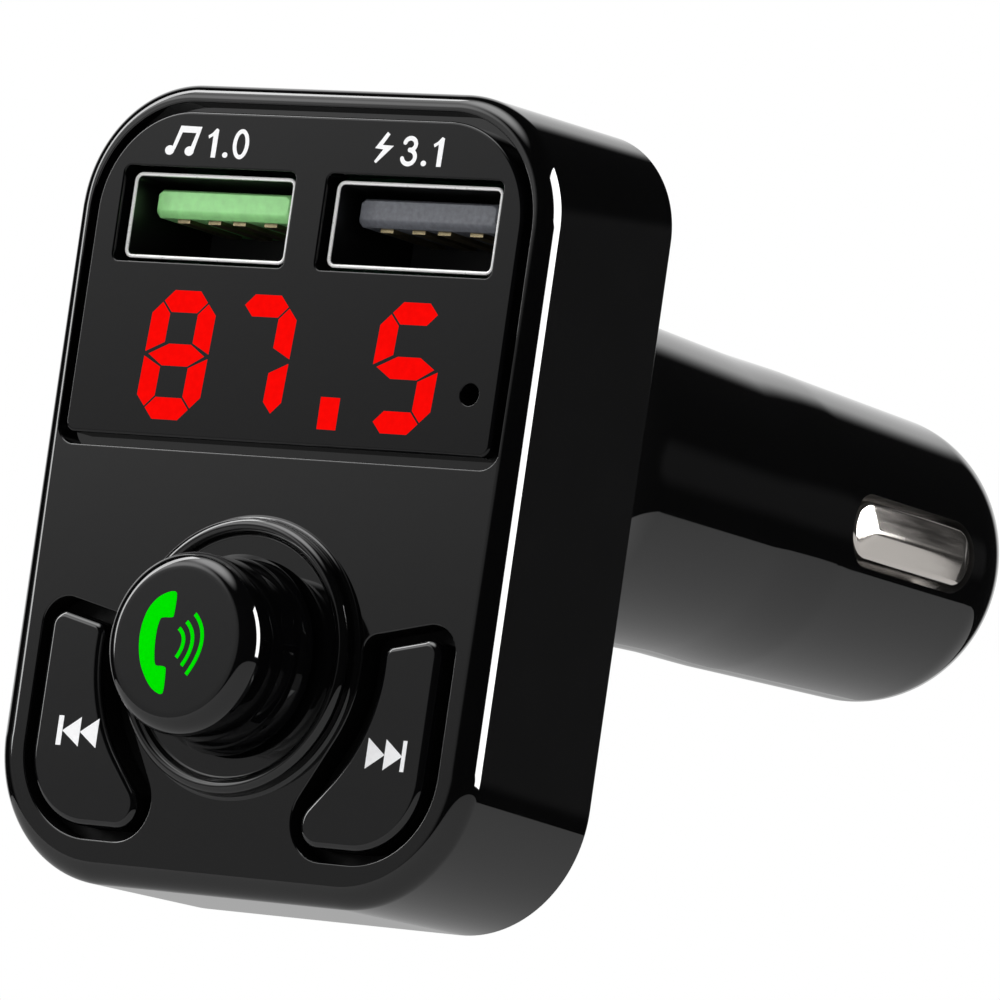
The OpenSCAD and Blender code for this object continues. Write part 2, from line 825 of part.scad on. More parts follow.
module inductor_coil()
    color([0.8, 0.45, 0.2])
        on_board(core_y)
            union() {
                pitch = (core_l - 2 * core_t - 2 * coil_r) / (coil_turns - 1);
                for (i = [0:coil_turns - 1])
                    translate([coil_mid_r, core_t + coil_r + i * pitch])
                        circle(coil_r);
                translate([core_neck_r, core_t])
                    square([coil_mid_r - core_neck_r, core_l - 2 * core_t]);
            }
module capacitor()
    color([0.15, 0.16, 0.2])
        translate([-board_t / 2 - can_r, back_y + can_y, 0])
            rotate([-90, 0, 0])
                cylinder(h = can_l, r = can_r);
module converter_chip()
    color([0.07, 0.07, 0.08]) {
        stem_block(board_t / 2, board_t / 2 + chip_t, chip_y, chip_y + chip_w, -chip_h / 2, chip_h / 2);
        for (i = [-1.5:1.5])
            stem_block(board_t / 2, board_t / 2 + tab_t, chip_y + chip_w / 2 + i * leg_pitch - leg_w / 2,
                chip_y + chip_w / 2 + i * leg_pitch + leg_w / 2, -chip_h / 2 - leg_l, chip_h / 2 + leg_l);
    }
module rectifier()
    color([0.07, 0.07, 0.08]) {
        stem_block(board_t / 2, board_t / 2 + diode_t, diode_y, diode_y + diode_w, -diode_h / 2, diode_h / 2);
        stem_block(board_t / 2, board_t / 2 + tab_t, diode_y - leg_l, diode_y + diode_w + leg_l, -tab_w / 2, tab_w / 2);
    }

// Tip, its spring and the seat of the spring
module spring_seat()
    color([0.8, 0.65, 0.35])
        intersection() {
            turned()
                translate([0, power_y1])
                    square([bore_r - fit_gap, seat_t]);
            stem_block(-seat_x, seat_x, power_y1 - over, power_y1 + seat_t + over, -bore_r, bore_r);
        }
module plug_tip()
    color([0.82, 0.82, 0.8])
        turned()
            union() {
                translate([0, collar_y - guide_l])
                    square([guide_r, guide_l]);
                translate([0, collar_y])
                    square([collar_r, collar_t]);
                translate([0, collar_y])
                    square([tip_r, plug_l + tip_out - tip_round - collar_y]);
                translate([0, collar_y])
                    square([tip_r - tip_round, plug_l + tip_out - collar_y]);
                intersection() {
                    translate([tip_r - tip_round, plug_l + tip_out - tip_round])
                        circle(tip_round);
                    translate([tip_r - tip_round, plug_l + tip_out - tip_round])
                        square(tip_round);
                }
            }
rings = 8;
sides = 6;
spring_y0 = power_y1 + seat_t + wire_r;
spring_y1 = collar_y - wire_r;
spring_pitch = (spring_y1 - spring_y0) / spring_turns;
spring_rings = rings * spring_turns;
echo(spring_gap = spring_pitch - 2 * wire_r);
function coil_point(i, j) = let (a = 360 * i / rings, b = 360 * j / sides,
    r = coil_out_r - wire_r + wire_r * cos(b))
    [r * cos(a), back_y + spring_y0 + spring_pitch * i / rings + wire_r * sin(b), r * sin(a)];
module tip_spring()
    color([0.7, 0.7, 0.72])
        polyhedron(
            points = [for (i = [0:spring_rings]) for (j = [0:sides - 1]) coil_point(i, j)],
            faces = concat(
                [[for (j = [0:sides - 1]) j]],
                [[for (j = [sides - 1:-1:0]) spring_rings * sides + j]],
                [for (i = [0:spring_rings - 1]) for (j = [0:sides - 1])
                    [i * sides + j, (i + 1) * sides + j, i * sides + (j + 1) % sides]],
                [for (i = [0:spring_rings - 1]) for (j = [0:sides - 1])
                    [i * sides + (j + 1) % sides, (i + 1) * sides + j, (i + 1) * sides + (j + 1) % sides]]));

// Spring-loaded contacts on the sides of the plug
module side_contact(side) {
    crest = seat_r - (seat_r - nose_r) / 2 + side_rise;
    color([0.82, 0.8, 0.76])
        mirrored(side) {
            intersection() {
                translate([bore_r - side_lip_t, back_y + side_y, 0])
                    rotate([0, 90, 0])
                        linear_extrude(root_r)
                            stadium(side_w / 2, side_l / 2 - side_w / 2);
                translate([crest - side_ridge_r, back_y + side_y - side_l, 0])
                    union() {
                        rotate([-90, 0, 0])
                            cylinder(h = 2 * side_l, r = side_ridge_r);
                        translate([-side_ridge_r, 0, -side_w])
                            cube([side_ridge_r, 2 * side_l, 2 * side_w]);
                    }
                translate([crest - side_arc_r, back_y + side_y, -side_w])
                    cylinder(h = 2 * side_w, r = side_arc_r, $fn = 300);
            }
            intersection() {
                turned()
                    translate([bore_r - free_gap - side_lip_t, side_y - side_l / 2 - side_lip])
                        square([side_lip_t, side_l + 2 * side_lip]);
                stem_block(0, bore_r, side_y - side_l, side_y + side_l, -side_w / 2 - side_lip, side_w / 2 + side_lip);
            }
        }
}
module side_contact_left()
    side_contact(-1);
module side_contact_right()
    side_contact(1);

// Screws
module screw(spot, d, r, l, head_r, head_t)
    difference() {
        union() {
            rod(spot[0], spot[1], r, d - l, d + head_t / 2);
            rod(spot[0], spot[1], head_r, d, d + head_t);
        }
        for (a = [0, 90])
            translate([spot[0], face_y + d + head_t / 2, spot[1]])
                rotate([0, a, 0])
                    translate([-head_r * 0.6, 0, -cross_w / 2])
                        cube([head_r * 1.2, head_t, cross_w]);
    }
module case_screws()
    color([0.3, 0.3, 0.32])
        for (spot = case_spots)
            screw(spot, head_d - case_sink, case_r, case_l - over, case_head_r, case_head_t);
module board_screws()
    color([0.6, 0.6, 0.62])
        for (spot = board_spots)
            screw(spot, board_d + board_t, board_screw_r, board_screw_l, board_head_r, board_head_t);

front_housing();
rear_housing();
display_lens();
display_module();
digit_segments();
usb_shell_left();
usb_shell_right();
usb_tongue_left();
usb_tongue_right();
usb_contacts_left();
usb_contacts_right();
knob();
encoder_shaft();
encoder_rotor();
encoder_body();
prev_key();
next_key();
prev_switch_button();
next_switch_button();
prev_switch();
next_switch();
front_board();
radio_chip();
transmitter_chip();
crystal();
chip_antenna();
microphone();
microphone_boot();
power_board();
board_header();
header_pins();
inductor_core();
inductor_coil();
capacitor();
converter_chip();
rectifier();
spring_seat();
tip_spring();
plug_tip();
side_contact_left();
side_contact_right();
case_screws();
board_screws();
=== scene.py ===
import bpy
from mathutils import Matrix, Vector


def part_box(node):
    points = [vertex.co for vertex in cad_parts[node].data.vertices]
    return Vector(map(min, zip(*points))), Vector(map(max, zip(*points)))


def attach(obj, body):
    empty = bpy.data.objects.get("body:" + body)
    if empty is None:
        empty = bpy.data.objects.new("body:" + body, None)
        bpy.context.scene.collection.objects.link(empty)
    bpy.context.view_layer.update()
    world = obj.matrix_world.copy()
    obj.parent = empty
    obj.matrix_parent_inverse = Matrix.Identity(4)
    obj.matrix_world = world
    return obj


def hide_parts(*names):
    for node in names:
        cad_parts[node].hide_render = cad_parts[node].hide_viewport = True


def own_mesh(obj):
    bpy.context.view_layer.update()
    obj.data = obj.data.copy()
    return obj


bl_info = {
    "name": "Car FM transmitter",
    "version": (1, 0, 0),
    "blender": (4, 5, 0),
    "location": "View3D > Sidebar > Transmitter",
    "description": "Dresses the packed solids of a car FM transmitter and lights them",
    "category": "Object",
}

import bmesh
import bpy
import numpy as np
from bpy.props import FloatProperty, FloatVectorProperty, PointerProperty
from mathutils import Matrix
from mathutils.geometry import delaunay_2d_cdt

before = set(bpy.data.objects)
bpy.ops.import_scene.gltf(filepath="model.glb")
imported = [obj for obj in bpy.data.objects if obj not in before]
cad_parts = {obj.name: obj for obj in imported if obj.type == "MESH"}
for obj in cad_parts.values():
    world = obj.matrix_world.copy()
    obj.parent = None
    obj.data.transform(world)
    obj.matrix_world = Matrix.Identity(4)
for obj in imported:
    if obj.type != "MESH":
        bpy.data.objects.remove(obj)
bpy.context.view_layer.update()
MM = 0.001

# Places that the pieces share, read from the solids, in millimetres
HEAD_LOW, HEAD_HIGH = [np.array(c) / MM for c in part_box("front_housing")]
HALF_W = HEAD_HIGH[0]
HEAD_UP = HEAD_HIGH[2]
HEAD_LOWER = -HEAD_LOW[2]
LENS_LOW, LENS_HIGH = [np.array(c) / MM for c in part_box("display_lens")]
WINDOW_RISE = 0.15
FACE_Y = LENS_LOW[1] + WINDOW_RISE
BACK_Y = HEAD_HIGH[1]
KNOB_LOW, KNOB_HIGH = [np.array(c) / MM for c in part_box("knob")]
KNOB_Z = (KNOB_LOW[2] + KNOB_HIGH[2]) / 2
CAP_H = FACE_Y - KNOB_LOW[1] - 0.02
TIP_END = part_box("plug_tip")[1][1] / MM - BACK_Y
PLUG_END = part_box("rear_housing")[1][1] / MM - BACK_Y
FACE_T = 1.8
SIDE_T = 1.2
COVER_D = 11.5
RIM_R = 1.38
TOP_R, TOP_R_BACK = 8.25, 6.8
WINDOW_R = 6.65
LOW_R, LOW_R_BACK = 9.1, 8.6
PORT_X = 8.12
PORT_Z = 10.45
TONGUE_LIFT = 1.05
RING_OUT = 8.82
RING_IN = 7.82
DISC_H = 0.6
KNOB_FOOT = 1.2
HUB_HOLE_R = 4.2
MIC_X = 14.67
KEY_RISE = 0.35
KEY_SLOPE = 12
PORT_X_HALF, PORT_Z_HALF = 6.25, 2.56
PORT_BACK = 11.2
# The plug: its flare's centre and radii, its root on the cover, its seat, bore and nose
FLARE_C = (32.75, 15)
FLARE_R, FLARE_IN_R = 21.75, 24.35
ROOT_R = 17
SEAT_R = 10.46
BORE_R = 8.4
NOSE_R = 7.14
NOSE_Y = PLUG_END - NOSE_R
BACK_T = 2
SCREWS = [(-11.4, 15.5), (11.4, 15.5), (-3, -29.6), (3, -29.6)]
SINK_R, SINK_DEPTH, SCREW_HOLE_R = 1.5, 1.3, 0.9
SLOT_Y = PLUG_END - 16.25
CONTACT_HALF = 2.05
CONTACT_FOOT = 8.1
CONTACT_REACH = 15.0 / 2 - CONTACT_HALF
SLOT_HALF = 15.3 / 2 + 0.3
SLOT_W = 2.2 + 0.3
RING_STEPS = 160
PLUG_STEPS = 192
SPRING_TURNS = 6
SPRING_WIRE = 0.2


# Mesh helpers
def arc(centre, radius, start, end, count):
    """Points and outward directions on a circle: centre + radius * (cos a, sin a), a running evenly from
    start to end in degrees. Where the arc bends into the outline the direction is turned round."""
    a = np.radians(np.linspace(start, end, count))
    way = np.stack([np.cos(a), np.sin(a)], 1)
    return np.array(centre) + radius * way, way


def join_arcs(parts):
    """One closed outline from arcs laid end to end; straight sides are the gaps between them."""
    points = np.concatenate([p for p, _ in parts])
    ways = np.concatenate([w for _, w in parts])
    step = np.linalg.norm(points - np.roll(points, 1, 0), axis=1)
    keep = step > 1e-6
    return points[keep], ways[keep]


def subdivided(loop, longest):
    """The same outline with its long straight sides cut into equal steps no longer than the given length."""
    points, ways = loop
    out_p, out_w = [], []
    for p, q, w, v in zip(points, np.roll(points, -1, 0), ways, np.roll(ways, -1, 0)):
        n = max(1, int(np.ceil(np.linalg.norm(q - p) / longest)))
        t = np.arange(n)[:, None] / n
        out_p.append(p + (q - p) * t)
        out_w.append(w + (v - w) * t)
    return np.concatenate(out_p), np.concatenate(out_w)


def rounded_loop(x, up, low, r_up, r_low, count=28):
    """A rectangle from -x to x and from low to up, with corner arcs of radius r_low below and r_up above."""
    return join_arcs([
        arc((x - r_low, low + r_low), r_low, -90, 0, count),
        arc((x - r_up, up - r_up), r_up, 0, 90, count),
        arc((-x + r_up, up - r_up), r_up, 90, 180, count),
        arc((-x + r_low, low + r_low), r_low, 180, 270, count),
    ])


def moved(loop, x, z):
    """The outline shifted by x and z."""
    return loop[0] + np.array([x, z]), loop[1]


def circle_loop(x, z, r, count=128):
    """A circle as a closed outline."""
    points, ways = arc((x, z), r, 0, 360, count + 1)
    return points[:-1], ways[:-1]


def mirrored(loop, side):
    """The outline, or its mirror in x = 0 with its direction of travel kept."""
    if side > 0:
        return loop
    flip = np.array([-1, 1])
    return (loop[0] * flip)[::-1], (loop[1] * flip)[::-1]


class Shell:
    """Collects grids and flat areas as arrays, and makes one welded, closed mesh of them."""

    def __init__(self):
        self.points = []
        self.faces = []
        self.slots = []
        self.leads = []
        self.count = 0

    def add(self, points, faces, slot=0, leads=1):
        """Adds faces; leads says which of them set the shading of the small faces beside them."""
        points = np.asarray(points, float).reshape(-1, 3)
        self.points.append(points)
        self.faces.extend((np.asarray(faces) + self.count).tolist())
        self.slots.extend([slot] * len(faces))
        self.leads.append(np.broadcast_to(leads, len(faces)))
        self.count += len(points)

    def grid(self, points, closed=True, slot=0):
        """Quads between rows of points; closed joins each row's last point to its first."""
        rows, cols = points.shape[:2]
        i = np.arange(rows - 1)[:, None]
        j = np.arange(cols if closed else cols - 1)[None, :]
        k = (j + 1) % cols
        quads = np.stack([i * cols + j, i * cols + k, (i + 1) * cols + k, (i + 1) * cols + j], -1)
        step = np.linalg.norm(np.diff(points, axis=0), axis=2).mean(1)
        beside = np.minimum(np.append(step[1:], np.inf), np.append(np.inf, step[:-1]))
        leads = np.repeat((step > 2.5 * beside).astype(int), quads.shape[1])
        self.add(points, quads.reshape(-1, 4), slot, leads)

    def sweep(self, loop, profile, slot=0, place=None):
        """A profile carried along an outline: each point of the outline moves out by the profile's first
        number and back from the face by its second."""
        points, ways = loop
        out, depth = np.asarray(profile, float).T
        flat = points[None] + ways[None] * out[:, None, None]
        back = np.broadcast_to(depth[:, None], flat.shape[:2])
        self.grid((place or at_depth)(flat, back), True, slot)

    def flat(self, loops, depth, slot=0, place=None):
        """A flat area inside the first outline and outside the others, in triangles."""
        points = np.concatenate(loops)
        edges, start = [], 0
        for loop in loops:
            n = len(loop)
            edges += [(start + i, start + (i + 1) % n) for i in range(n)]
            start += n
        verts, _, tris = delaunay_2d_cdt([tuple(p) for p in points], edges, [], 1, 1e-7)[:3]
        verts = np.array([tuple(v) for v in verts])
        tris = np.array([t for t in tris if len(t) == 3])
        centre = verts[tris].mean(1)
        inside = np.zeros(len(tris), bool)
        for loop in loops:
            inside ^= within(centre, loop)
        tris = tris[inside]
        self.add((place or at_depth)(verts, np.full(len(verts), depth)), tris, slot)

    def turn(self, profile, place, count=128, slot=0):
        """A profile of (radius, height) turned about an axis: (r cos a, r sin a, height)."""
        r, h = np.asarray(profile, float).T
        a = np.linspace(0, 2 * np.pi, count, endpoint=False)
        flat = np.stack([r[:, None] * np.cos(a), r[:, None] * np.sin(a)], -1)
        self.grid(place(flat, np.broadcast_to(h[:, None], flat.shape[:2])), True, slot)

    def build(self, name, materials, smooth=38, weld=2e-7):
        """The mesh object in metres: doubles merged, faces turned outwards, edges sharper than an angle
        kept."""
        mesh = bpy.data.meshes.new(name)
        mesh.from_pydata((np.concatenate(self.points) * MM).tolist(), [], self.faces)
        for m in materials:
            mesh.materials.append(m)
        mesh.polygons.foreach_set("material_index", np.array(self.slots, np.int32))
        lead = mesh.attributes.new("lead", "INT", "FACE")
        lead.data.foreach_set("value", np.concatenate(self.leads).astype(np.int32))
        bm = bmesh.new()
        bm.from_mesh(mesh)
        bmesh.ops.remove_doubles(bm, verts=bm.verts, dist=weld)
        bmesh.ops.dissolve_degenerate(bm, dist=weld / 4, edges=bm.edges)
        bmesh.ops.recalc_face_normals(bm, faces=bm.faces)
        bm.to_mesh(mesh)
        bm.free()
        mesh.polygons.foreach_set("use_smooth", np.ones(len(mesh.polygons), bool))
        shade(mesh, smooth)
        mesh.attributes.remove(mesh.attributes["lead"])
        piece = bpy.data.objects.new(name, mesh)
        bpy.context.scene.collection.objects.link(piece)
        return piece


def shade(mesh, smooth):
    """Sets each corner's normal to the mean of the faces round its point that lie within an angle of its
    own face, weighted by area; where some of them lead, such as a flat beside a small rounding, only those
    count."""
    faces, corners = len(mesh.polygons), len(mesh.loops)
    normal = np.zeros(faces * 3)
    mesh.polygons.foreach_get("normal", normal)
    normal = normal.reshape(-1, 3)
    start, size = np.zeros(faces, np.int32), np.zeros(faces, np.int32)
    mesh.polygons.foreach_get("loop_start", start)
    mesh.polygons.foreach_get("loop_total", size)
    area = np.zeros(faces)
    mesh.polygons.foreach_get("area", area)
    lead = np.zeros(faces, np.int32)
    mesh.attributes["lead"].data.foreach_get("value", lead)
    face = np.repeat(np.arange(faces), size)
    order = np.repeat(start, size) + np.arange(len(face)) - np.repeat(np.cumsum(size) - size, size)
    of_face = np.zeros(corners, np.int64)
    of_face[order] = face
    point = np.zeros(corners, np.int32)
    mesh.loops.foreach_get("vertex_index", point)
    by_point = np.argsort(point, kind="stable")
    _, first, shared = np.unique(point[by_point], return_index=True, return_counts=True)
    result = np.zeros((corners, 3))
    limit = np.cos(np.radians(smooth))
    for k in np.unique(shared):
        groups = by_point[first[shared == k][:, None] + np.arange(k)[None]]
        f = of_face[groups]
        near = np.einsum("gik,gjk->gij", normal[f], normal[f]) > limit
        weight = area[f][:, None, :] * near
        led = weight * lead[f][:, None, :]
        weight = np.where(led.sum(2, keepdims=True) > 0, led, weight)
        result[groups] = np.einsum("gij,gjk->gik", weight, normal[f])
    result /= np.maximum(np.linalg.norm(result, axis=1, keepdims=True), 1e-20)
    mesh.set_sharp_from_angle(angle=np.radians(smooth))
    mesh.normals_split_custom_set(result.tolist())


def within(points, loop):
    """Even-odd rule: a point is inside where a ray to its right crosses the outline an odd number of
    times."""
    x, y = points[:, 0:1], points[:, 1:2]
    a, b = loop, np.roll(loop, -1, 0)
    crosses = (a[:, 1] > y) != (b[:, 1] > y)
    rise = np.where(b[:, 1] == a[:, 1], 1e-12, b[:, 1] - a[:, 1])
    cut = a[:, 0] + (y - a[:, 1]) * (b[:, 0] - a[:, 0]) / rise
    return (np.sum(crosses & (x < cut), 1) % 2).astype(bool)


def at_depth(flat, depth):
    """Points (x, z) set behind the face: y is the face plus the depth."""
    return np.stack([flat[..., 0], FACE_Y + depth, flat[..., 1]], -1)


def on_knob(flat, height):
    """Points about the knob's axis, set in front of the face by their height."""
    return np.stack([flat[..., 0], FACE_Y - height, KNOB_Z + flat[..., 1]], -1)


def on_plug(flat, along):
    """Points about the plug's axis, set behind the head's back by their distance along it."""
    return np.stack([flat[..., 0], BACK_Y + along, flat[..., 1]], -1)


def bend(count, start=0):
    """Sines and cosines of angles that run evenly up to a right angle."""
    a = np.radians(np.linspace(start, 90, count))
    return np.sin(a), np.cos(a)


def pairs(x, y):
    """Profile points from their two numbers, each an array or one value for all."""
    return np.stack(np.broadcast_arrays(x, y), 1).tolist()


def quarter(x, y, r, start, end, count=8):
    """Profile points on a circle of radius r about (x, y)."""
    return arc((x, y), r, start, end, count)[0].tolist()


def key_loop(x, low, radius, top, low_r, in_x, in_r, tip_r, out_r, count=14):
    """A key's outline: a straight outer side, a sloping top, a round cut about the knob's axis and four
    rounded corners. The line to the lower inner corner touches both the cut and that corner's circle."""
    slope = np.radians(KEY_SLOPE)
    hub = np.array([0, KNOB_Z])
    along = np.array([np.cos(slope), np.sin(slope)])
    up = np.array([-np.sin(slope), np.cos(slope)])
    low_c = np.array([x - low_r, -low + low_r])
    in_c = np.array([in_x, -low + in_r])
    away = in_c - hub
    in_a = np.degrees(np.arctan2(away[1], away[0]) + np.arccos(min(1, (radius + in_r) / np.hypot(*away))))
    tip_away = np.sqrt((radius + tip_r) ** 2 - (top - tip_r) ** 2) * along + (top - tip_r) * up
    tip_a = np.degrees(np.arctan2(tip_away[1], tip_away[0]))
    out_x = x - out_r
    out_c = (out_x, KNOB_Z + (top - out_r + np.sin(slope) * out_x) / np.cos(slope))
    cut_p, cut_w = arc(hub, radius, tip_a, in_a, 3 * count)
    return join_arcs([
        arc(low_c, low_r, -90, 0, 2 * count),
        arc(out_c, out_r, 0, KEY_SLOPE + 90, count),
        arc(hub + tip_away, tip_r, KEY_SLOPE + 90, tip_a + 180, count),
        (cut_p, -cut_w),
        arc(in_c, in_r, in_a + 180, 270, count),
    ])


def well(grow=0.0):
    """A well's outline, or the same moved out."""
    low_r, in_r, tip_r, out_r = 5.9, 2.6, 1, 1.85
    return key_loop(16.3 + grow, 29.85 + grow, 9.35 - grow, grow, low_r + grow, 8.2, in_r + grow,
                    tip_r + grow, out_r + grow)


def key_top():
    """The outline of a key's top."""
    return key_loop(15.4, 29.05, 11.1, -0.95, 4.8, 8, 1.5, 0.8, 1)


# Materials
class Paint:
    """Builds one procedural material; every pattern reads Object coordinates."""

    def __init__(self, name, color, metallic=0.0, roughness=0.4, **sockets):
        self.mat = bpy.data.materials.new(name)
        self.mat.use_nodes = True
        self.tree = self.mat.node_tree
        self.bsdf = self.tree.nodes["Principled BSDF"]
        self.bsdf.inputs["Base Color"].default_value = (*color[:3], 1)
        self.bsdf.inputs["Metallic"].default_value = metallic
        self.bsdf.inputs["Roughness"].default_value = roughness
        for key, value in sockets.items():
            self.bsdf.inputs[key.replace("_", " ")].default_value = value
        self.coords = self.tree.nodes.new("ShaderNodeTexCoord").outputs["Object"]
        self.color = color

    def link(self, a, b):
        self.tree.links.new(a, b)

    def noise(self, scale, detail=3.0, stretch=None, rough=0.5):
        """Noise in cells per metre, drawn out along an axis where stretch says so."""
        node = self.tree.nodes.new("ShaderNodeTexNoise")
        node.inputs["Scale"].default_value = scale
        node.inputs["Detail"].default_value = detail
        node.inputs["Roughness"].default_value = rough
        source = self.coords
        if stretch:
            mapping = self.tree.nodes.new("ShaderNodeMapping")
            mapping.inputs["Scale"].default_value = stretch
            self.link(self.coords, mapping.inputs["Vector"])
            source = mapping.outputs["Vector"]
        self.link(source, node.inputs["Vector"])
        return node.outputs["Fac"]

    def spread(self, value, low, high, from_low=0.3, from_high=0.7):
        node = self.tree.nodes.new("ShaderNodeMapRange")
        keys = ("From Min", "From Max", "To Min", "To Max")
        for key, number in zip(keys, (from_low, from_high, low, high)):
            node.inputs[key].default_value = number
        self.link(value, node.inputs["Value"])
        return node.outputs["Result"]

    def vary_roughness(self, scale, low, high, **kind):
        self.link(self.spread(self.noise(scale, **kind), low, high), self.bsdf.inputs["Roughness"])
        return self

    def vary_color(self, scale, other, **kind):
        mix = self.tree.nodes.new("ShaderNodeMix")
        mix.data_type = "RGBA"
        mix.inputs["A"].default_value = (*self.color[:3], 1)
        mix.inputs["B"].default_value = (*other[:3], 1)
        self.link(self.spread(self.noise(scale, **kind), 0, 1), mix.inputs["Factor"])
        self.link(mix.outputs["Result"], self.bsdf.inputs["Base Color"])
        return self

    def bump(self, scale, strength, distance=0.00002, **kind):
        node = self.tree.nodes.new("ShaderNodeBump")
        node.inputs["Strength"].default_value = strength
        node.inputs["Distance"].default_value = distance
        self.link(self.noise(scale, **kind), node.inputs["Height"])
        self.link(node.outputs["Normal"], self.bsdf.inputs["Normal"])
        return self


def tinted(color, factor):
    return [min(1.0, c * factor) for c in color[:3]]


MATERIALS = {}


def make_materials(look):
    """All the finishes: each is a base colour with its own grain, sheen and small unevenness. The shell's mouth
    is a painted highlight, and the shell's inside and the port strips carry painted shade.
    """
    m = MATERIALS
    gloss = look.gloss_roughness
    m["case"] = Paint("Polished case black", look.case_color, 0, gloss, IOR=1.62) \
        .vary_roughness(260, gloss * 0.7, gloss * 1.4, detail=4).bump(420, 0.05, detail=2).mat
    m["case_rear"] = Paint("Polished plug black", look.case_color, 0, gloss, IOR=1.56) \
        .vary_roughness(180, gloss * 0.7, gloss * 1.5, detail=4).bump(300, 0.06, detail=2).mat
    m["window"] = Paint("Smoked window", look.window_color, 0, gloss, IOR=1.44) \
        .vary_roughness(500, gloss * 0.8, gloss * 1.6, detail=5).bump(900, 0.03, detail=2).mat
    m["knob"] = Paint("Polished knob black", look.knob_color, 0, gloss, IOR=1.62) \
        .vary_roughness(700, gloss * 0.8, gloss * 1.7, detail=4).bump(1200, 0.04, detail=2).mat
    m["shade_black"] = Paint("Matt well black", (0.0015, 0.0015, 0.0015), 0, 0.5, Specular_IOR_Level=0.15) \
        .vary_roughness(900, 0.42, 0.6).bump(2600, 0.2).mat
    m["inside_black"] = Paint("Moulded inside black", (0.02, 0.02, 0.021), 0, 0.45) \
        .vary_roughness(900, 0.38, 0.55).bump(2600, 0.2).mat
    m["digit"] = lit("Lit segment", look.digit_color, look.digit_strength)
    m["white_mark"] = Paint("White print", look.white_print, 0, 0.45) \
        .vary_color(4000, tinted(look.white_print, 0.95)).bump(6000, 0.1).mat
    m["green_mark"] = Paint("Green print", look.green_print, 0, 0.5, Specular_IOR_Level=0) \
        .vary_color(4000, tinted(look.green_print, 0.94)).bump(6000, 0.1).mat
    m["shell"] = Paint("Bright plated shell", (0.83, 0.83, 0.84), 1, 0.14) \
        .vary_roughness(1200, 0.1, 0.22, stretch=(1, 0.15, 1)).bump(2500, 0.08, stretch=(1, 0.1, 1)).mat
    m["shell_inside"] = Paint("Shaded inside of the shell", (0.1, 0.1, 0.1), 1, 0.35) \
        .vary_roughness(1200, 0.28, 0.42, stretch=(1, 0.15, 1)).bump(2500, 0.1, stretch=(1, 0.1, 1)).mat
    # The shell's mouth is painted near white and nearly non-metallic: a painted highlight for the glint on the
    # plated rim.
    m["shell_rim_highlight"] = Paint("Painted highlight on the shell's mouth", (0.97, 0.97, 0.96), 0.15, 0.3) \
        .vary_roughness(2500, 0.25, 0.38).bump(2500, 0.05).mat
    # The strips deep in the ports are the gilt painted darker: painted shade for the shade inside the ports.
    m["strip"] = Paint("Gilt strip with painted shade", (0.3, 0.25, 0.15), 1, 0.4) \
        .vary_roughness(2500, 0.32, 0.5, stretch=(1, 0.2, 1)).bump(4000, 0.06).mat
    m["tongue_left"] = Paint("Light green tongue", look.tongue_left, 0, 0.42) \
        .vary_color(1500, tinted(look.tongue_left, 0.85)).bump(3500, 0.18).mat
    m["tongue_right"] = Paint("Dark tongue", look.tongue_right, 0, 0.5) \
        .vary_color(3000, tinted(look.tongue_right, 1.5)).bump(4200, 0.35).mat
    m["gilt"] = Paint("Gilt contact", (0.86, 0.68, 0.36), 1, 0.25) \
        .vary_roughness(2500, 0.18, 0.36, stretch=(1, 0.2, 1)).bump(4000, 0.06).mat
    m["nickel"] = Paint("Nickel contact", look.nickel_color, 1, 0.13) \
        .vary_roughness(1800, 0.1, 0.16, stretch=(1, 0.12, 1)).bump(3000, 0.01, stretch=(1, 0.1, 1)).mat
    m["steel"] = Paint("Plain steel", (0.55, 0.56, 0.58), 1, 0.34) \
        .vary_roughness(1600, 0.26, 0.46).bump(3500, 0.12).mat
    m["screw"] = Paint("Blackened screw", (0.09, 0.09, 0.1), 1, 0.38) \
        .vary_roughness(2400, 0.3, 0.5).bump(4200, 0.15).mat
    m["module"] = Paint("Dark moulding", (0.12, 0.12, 0.13), 0, 0.55).vary_color(900, (0.09, 0.09, 0.1)) \
        .bump(3000, 0.25).mat
    m["pale"] = Paint("Pale moulding", (0.78, 0.75, 0.67), 0, 0.5).vary_color(1200, (0.7, 0.67, 0.6)) \
        .bump(3000, 0.2).mat
    m["board"] = Paint("Solder mask", (0.02, 0.16, 0.07), 0, 0.3).vary_color(600, (0.015, 0.11, 0.05)) \
        .bump(2000, 0.15).mat
    m["chip"] = Paint("Chip package", (0.03, 0.03, 0.032), 0, 0.6).vary_color(2000, (0.045, 0.045, 0.047)) \
        .bump(5000, 0.3).mat
    m["rubber"] = Paint("Soft boot", (0.025, 0.025, 0.025), 0, 0.8).vary_roughness(1500, 0.7, 0.9) \
        .bump(3000, 0.3).mat
    m["copper"] = Paint("Enamelled copper", (0.72, 0.3, 0.13), 1, 0.3).vary_roughness(2500, 0.2, 0.4) \
        .bump(5000, 0.15).mat


def lit(name, color, strength):
    """A glowing segment, a little brighter in its middle grain."""
    paint = Paint(name, (0, 0, 0), 0, 0.5, Specular_IOR_Level=0)
    paint.bsdf.inputs["Emission Strength"].default_value = strength
    mix = paint.tree.nodes.new("ShaderNodeMix")
    mix.data_type = "RGBA"
    mix.inputs["A"].default_value = (*color[:3], 1)
    mix.inputs["B"].default_value = (*tinted(color, 0.9), 1)
    paint.link(paint.spread(paint.noise(2500), 0, 1), mix.inputs["Factor"])
    paint.link(mix.outputs["Result"], paint.bsdf.inputs["Emission Color"])
    return paint.mat


def seat(piece, body, slot, *nodes):
    """Rides on a body and stands for the nodes that it replaces; the slot is not used."""
    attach(piece, body)
    if nodes:
        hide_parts(*nodes)
    return piece


